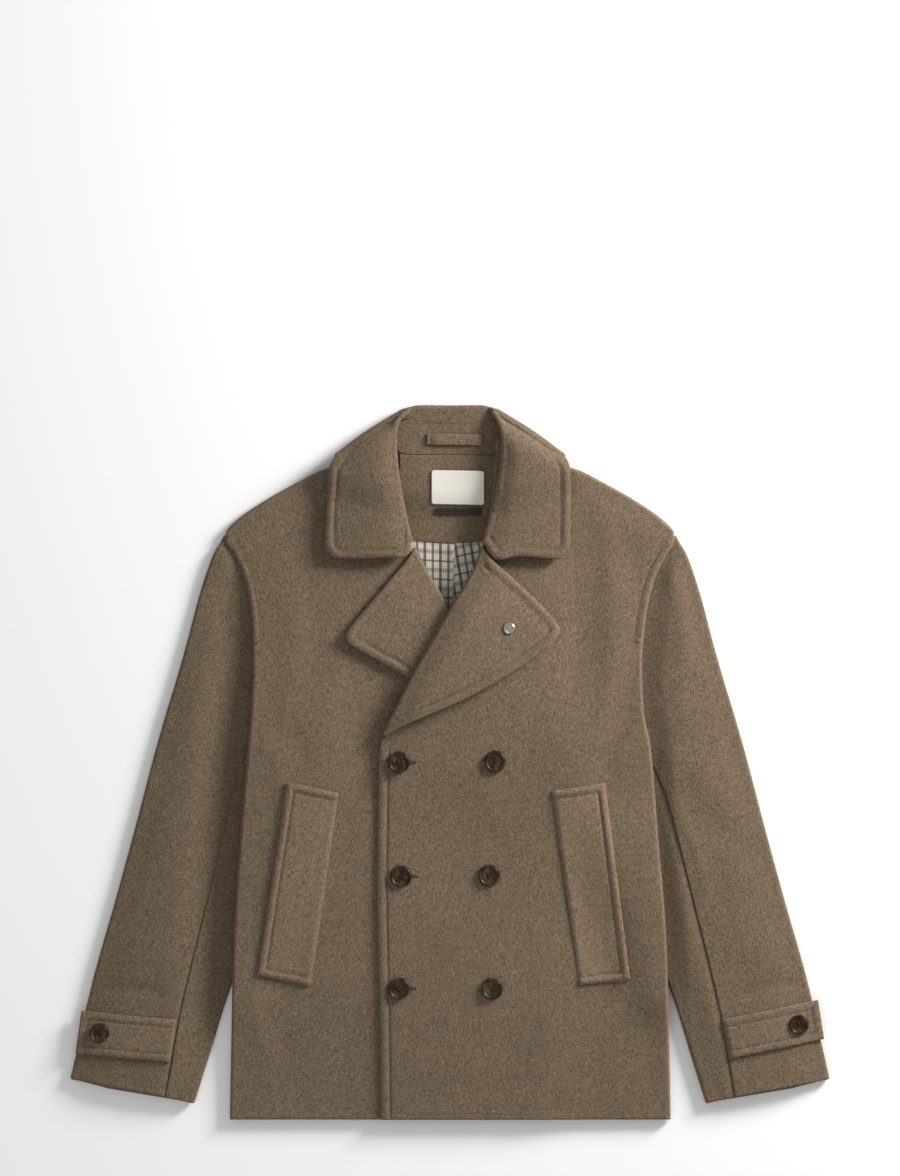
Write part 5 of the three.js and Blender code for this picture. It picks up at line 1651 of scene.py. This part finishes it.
def buttonhole(name, face, x, y, length=23.0, half=0.95):
    """A worked buttonhole: thread wound round a slit, as a long ring of close bars. No slit is cut: the
    thread's dark colour also paints the shade that falls in the slit.
    """
    around = angles_round(60)
    cosine, sine = np.cos(around), np.sin(around)
    straight = length / 2 - half
    slit = np.clip(cosine * (length / 2 + 3), -straight, straight)
    along = half * np.sign(cosine) * (np.abs(slit) >= straight) * np.abs(cosine)
    square = half * np.sign(sine) * np.minimum(1, np.abs(sine) * 3)
    spots = np.stack([x + slit + along, y + square], 1)
    inner = np.stack([x + slit, np.full(len(slit), y)], 1)
    paths = []
    for spot, within, height in zip(spots, inner, height_at(face, spots)):
        apart = spot - within
        out = unit(apart) if np.linalg.norm(apart) > 1e-6 else np.array([1.0, 0.0])
        bar = zip((-0.8, -0.3, 0.3, 0.8), (-0.4, 0.25, 0.25, -0.3))
        paths.append(np.array([[*(spot + out * reach), height + rise] for reach, rise in bar]))
    return threads(name, paths, 0.4, "dark_thread_and_slit_shade", "wool")


def bar_tack(name, face, x, y, turn, length=8.0):
    """Close bars of thread that lock the armhole stitching's end."""
    along = np.array(turned(1, 0, turn))
    out = np.array(turned(0, 1, turn))
    paths = []
    for share in np.linspace(-0.5, 0.5, 9):
        middle = np.array([x, y]) + share * length * along
        z = height_at(face, middle[None])[0]
        bar = zip((-1.1, 0, 1.1), (-0.3, 0.5, -0.3))
        paths.append(np.array([[*(middle + out * reach), z + rise] for reach, rise in bar]))
    return threads(name, paths, 0.4, "thread", "wool")


def lapel_stud(face):
    """A low domed stud, closed at the top and under."""
    x, y, radius, height = (STUD[key] for key in ("x", "y", "radius", "height"))
    place = [x, y, height_at(face, np.array([[x, y]]))[0] + 0.3]
    rings = rings_of(radius * STUD_SECTION["r"], height * STUD_SECTION["z"], 64)
    piece = round_solid("lapel_stud_metal", rings, place, 0, MATERIALS["nickel"])
    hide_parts("lapel_stud")


# The coat
declare(back_panel()[0], "back")

faces = {}
for side, sign in SIDES.items():
    piece, faces[side] = front_panel(side)
    sewn = stitches(f"front_{side}_stitches", faces[side], front_lines(side))
    tack_x, lean = sign * (body_edge[side](TACK_Y) - 5.5), -30 if side == "left" else 35
    tack = bar_tack(f"armhole_tack_{side}", faces[side], tack_x, TACK_Y + 1, lean)
    declare(piece, f"front_{side}")
    declare(upper_sleeve(side)[0], f"sleeve_upper_{side}")
    declare(under_sleeve(side)[0], f"sleeve_under_{side}")
    piece, lapel_face = lapel(side)
    sewn = stitches(f"lapel_{side}_stitches", lapel_face, lapel_lines(side))
    declare(piece, f"lapel_{side}")
    piece, face = pocket_welt(side)
    sewn = stitches(f"welt_{side}_stitches", face, band_lines(side, WELT_CORNERS[side], WELT_INSET))
    declare(piece, f"pocket_welt_{side}")
    piece, face = cuff_strap(side)
    sewn = stitches(f"strap_{side}_stitches", face, band_lines(side, STRAP_CORNERS[side], STRAP_INSET))
    declare(piece, f"cuff_strap_{side}")
    e, y, turn = CUFF_BUTTONS[side]
    place = [sign * e, y, height_at(face, np.array([[sign * e, y]]))[0] + 0.4]
    button(f"cuff_button_{side}_horn", f"button_cuff_{side}", place, CUFF_BUTTON_RADIUS, turn)

lapel_stud(lapel_face)

piece, face = collar()
sewn = [stitches(f"collar_{side}_stitches", face[:, ON_FALL:], collar_lines(side)) for side in SIDES]
declare(piece, "collar")
declare(back_neck_facing()[0], "back_neck_facing")
declare(lining()[0], "lining")
declare(collar_stand()[0], "collar_stand")
declare(hanger_loop()[0], "hanger_loop")
piece = label("label_plain_cloth", LABEL, "label", 3.0, 0.8)[0]
declare(piece, "label_plain")
piece = label("label_small_cloth", SMALL_LABEL, "label_dark", 0.8, 0.2)[0]
declare(piece, "label_small")

for number, (x, y, turn) in enumerate(np.stack(list(FRONT_BUTTONS.values()), 1), start=1):
    around = np.array([[x + 9 * dx, y + 9 * dy] for dx in (-1, 0, 1) for dy in (-1, 0, 1)])
    place = [x, y, height_at(faces["left"], around).max() + 0.3]
    button(f"front_button_{number}_horn", f"button_front_{number}", place, FRONT_BUTTON_RADIUS, turn)
    if x < 0:
        buttonhole(f"buttonhole_{number}", faces["left"], x + 7.5, y)


# Floor, camera and light: lengths in metres, the sensor's in millimetres
FLOOR_HALF = 9.0
FLOOR_Z = -0.0004
FLOOR_TONE = 0.93
SKY_STRENGTH = 0.42
KEY_LIGHT = {"place": (2.0, 1.45, 0.92), "size": 0.8, "power": 119, "colour": (1.0, 0.985, 0.96)}
FILL_LIGHT = {"place": (-1.3, -2.2, 2.6), "size": 2.4, "power": 20, "colour": (1, 1, 1)}
VIEW_CENTRE = (0.0, 0.2007)
VIEW_HEIGHT = 1.3524
CAMERA_DISTANCE = 7.0
FRAME_Z = 0.012
SENSOR = 36.0


def floor():
    """A plain pale floor just under the coat."""
    mesh = bpy.data.meshes.new("floor")
    signs = [(-1, -1), (1, -1), (1, 1), (-1, 1)]
    mesh.from_pydata([(a * FLOOR_HALF, b * FLOOR_HALF, FLOOR_Z) for a, b in signs], [], [(0, 1, 2, 3)])
    stuff = Finish("pale_floor")
    grey = (FLOOR_TONE, FLOOR_TONE, FLOOR_TONE)
    mesh.materials.append(stuff.finish(Base_Color=grey, Roughness=0.9, Specular_IOR_Level=0.0))
    piece = bpy.data.objects.new("floor", mesh)
    bpy.context.scene.collection.objects.link(piece)


def camera():
    """Straight above, with a long lens that takes in the photo's frame at the coat's height."""
    data = bpy.data.cameras.new("camera")
    data.sensor_width = SENSOR
    data.lens = SENSOR * CAMERA_DISTANCE / VIEW_HEIGHT
    data.clip_end = 100
    piece = bpy.data.objects.new("camera", data)
    piece.location = (*VIEW_CENTRE, CAMERA_DISTANCE + FRAME_Z)
    bpy.context.scene.collection.objects.link(piece)
    bpy.context.scene.camera = piece


def area_light(name, place, size, power, colour):
    """A square soft light at a place, turned towards the middle of the floor."""
    data = bpy.data.lights.new(name, "AREA")
    data.shape = "SQUARE"
    data.size = size
    data.energy = power
    data.color = colour
    piece = bpy.data.objects.new(name, data)
    piece.location = place
    direction = unit(-np.array(place))
    pitch = math.acos(-direction[2])
    piece.rotation_euler = (pitch, 0, math.atan2(direction[1], direction[0]) - math.pi / 2)
    bpy.context.scene.collection.objects.link(piece)


def light():
    """A low key from the upper right, a weak fill from the lower left, and an even pale sky."""
    area_light("key", **KEY_LIGHT)
    area_light("fill", **FILL_LIGHT)
    world = bpy.data.worlds.new("sky")
    world.use_nodes = True
    background = world.node_tree.nodes["Background"]
    background.inputs["Color"].default_value = (1, 1, 1, 1)
    background.inputs["Strength"].default_value = SKY_STRENGTH
    bpy.context.scene.world = world


floor()
camera()
light()
bpy.context.scene.view_settings.view_transform = "Standard"
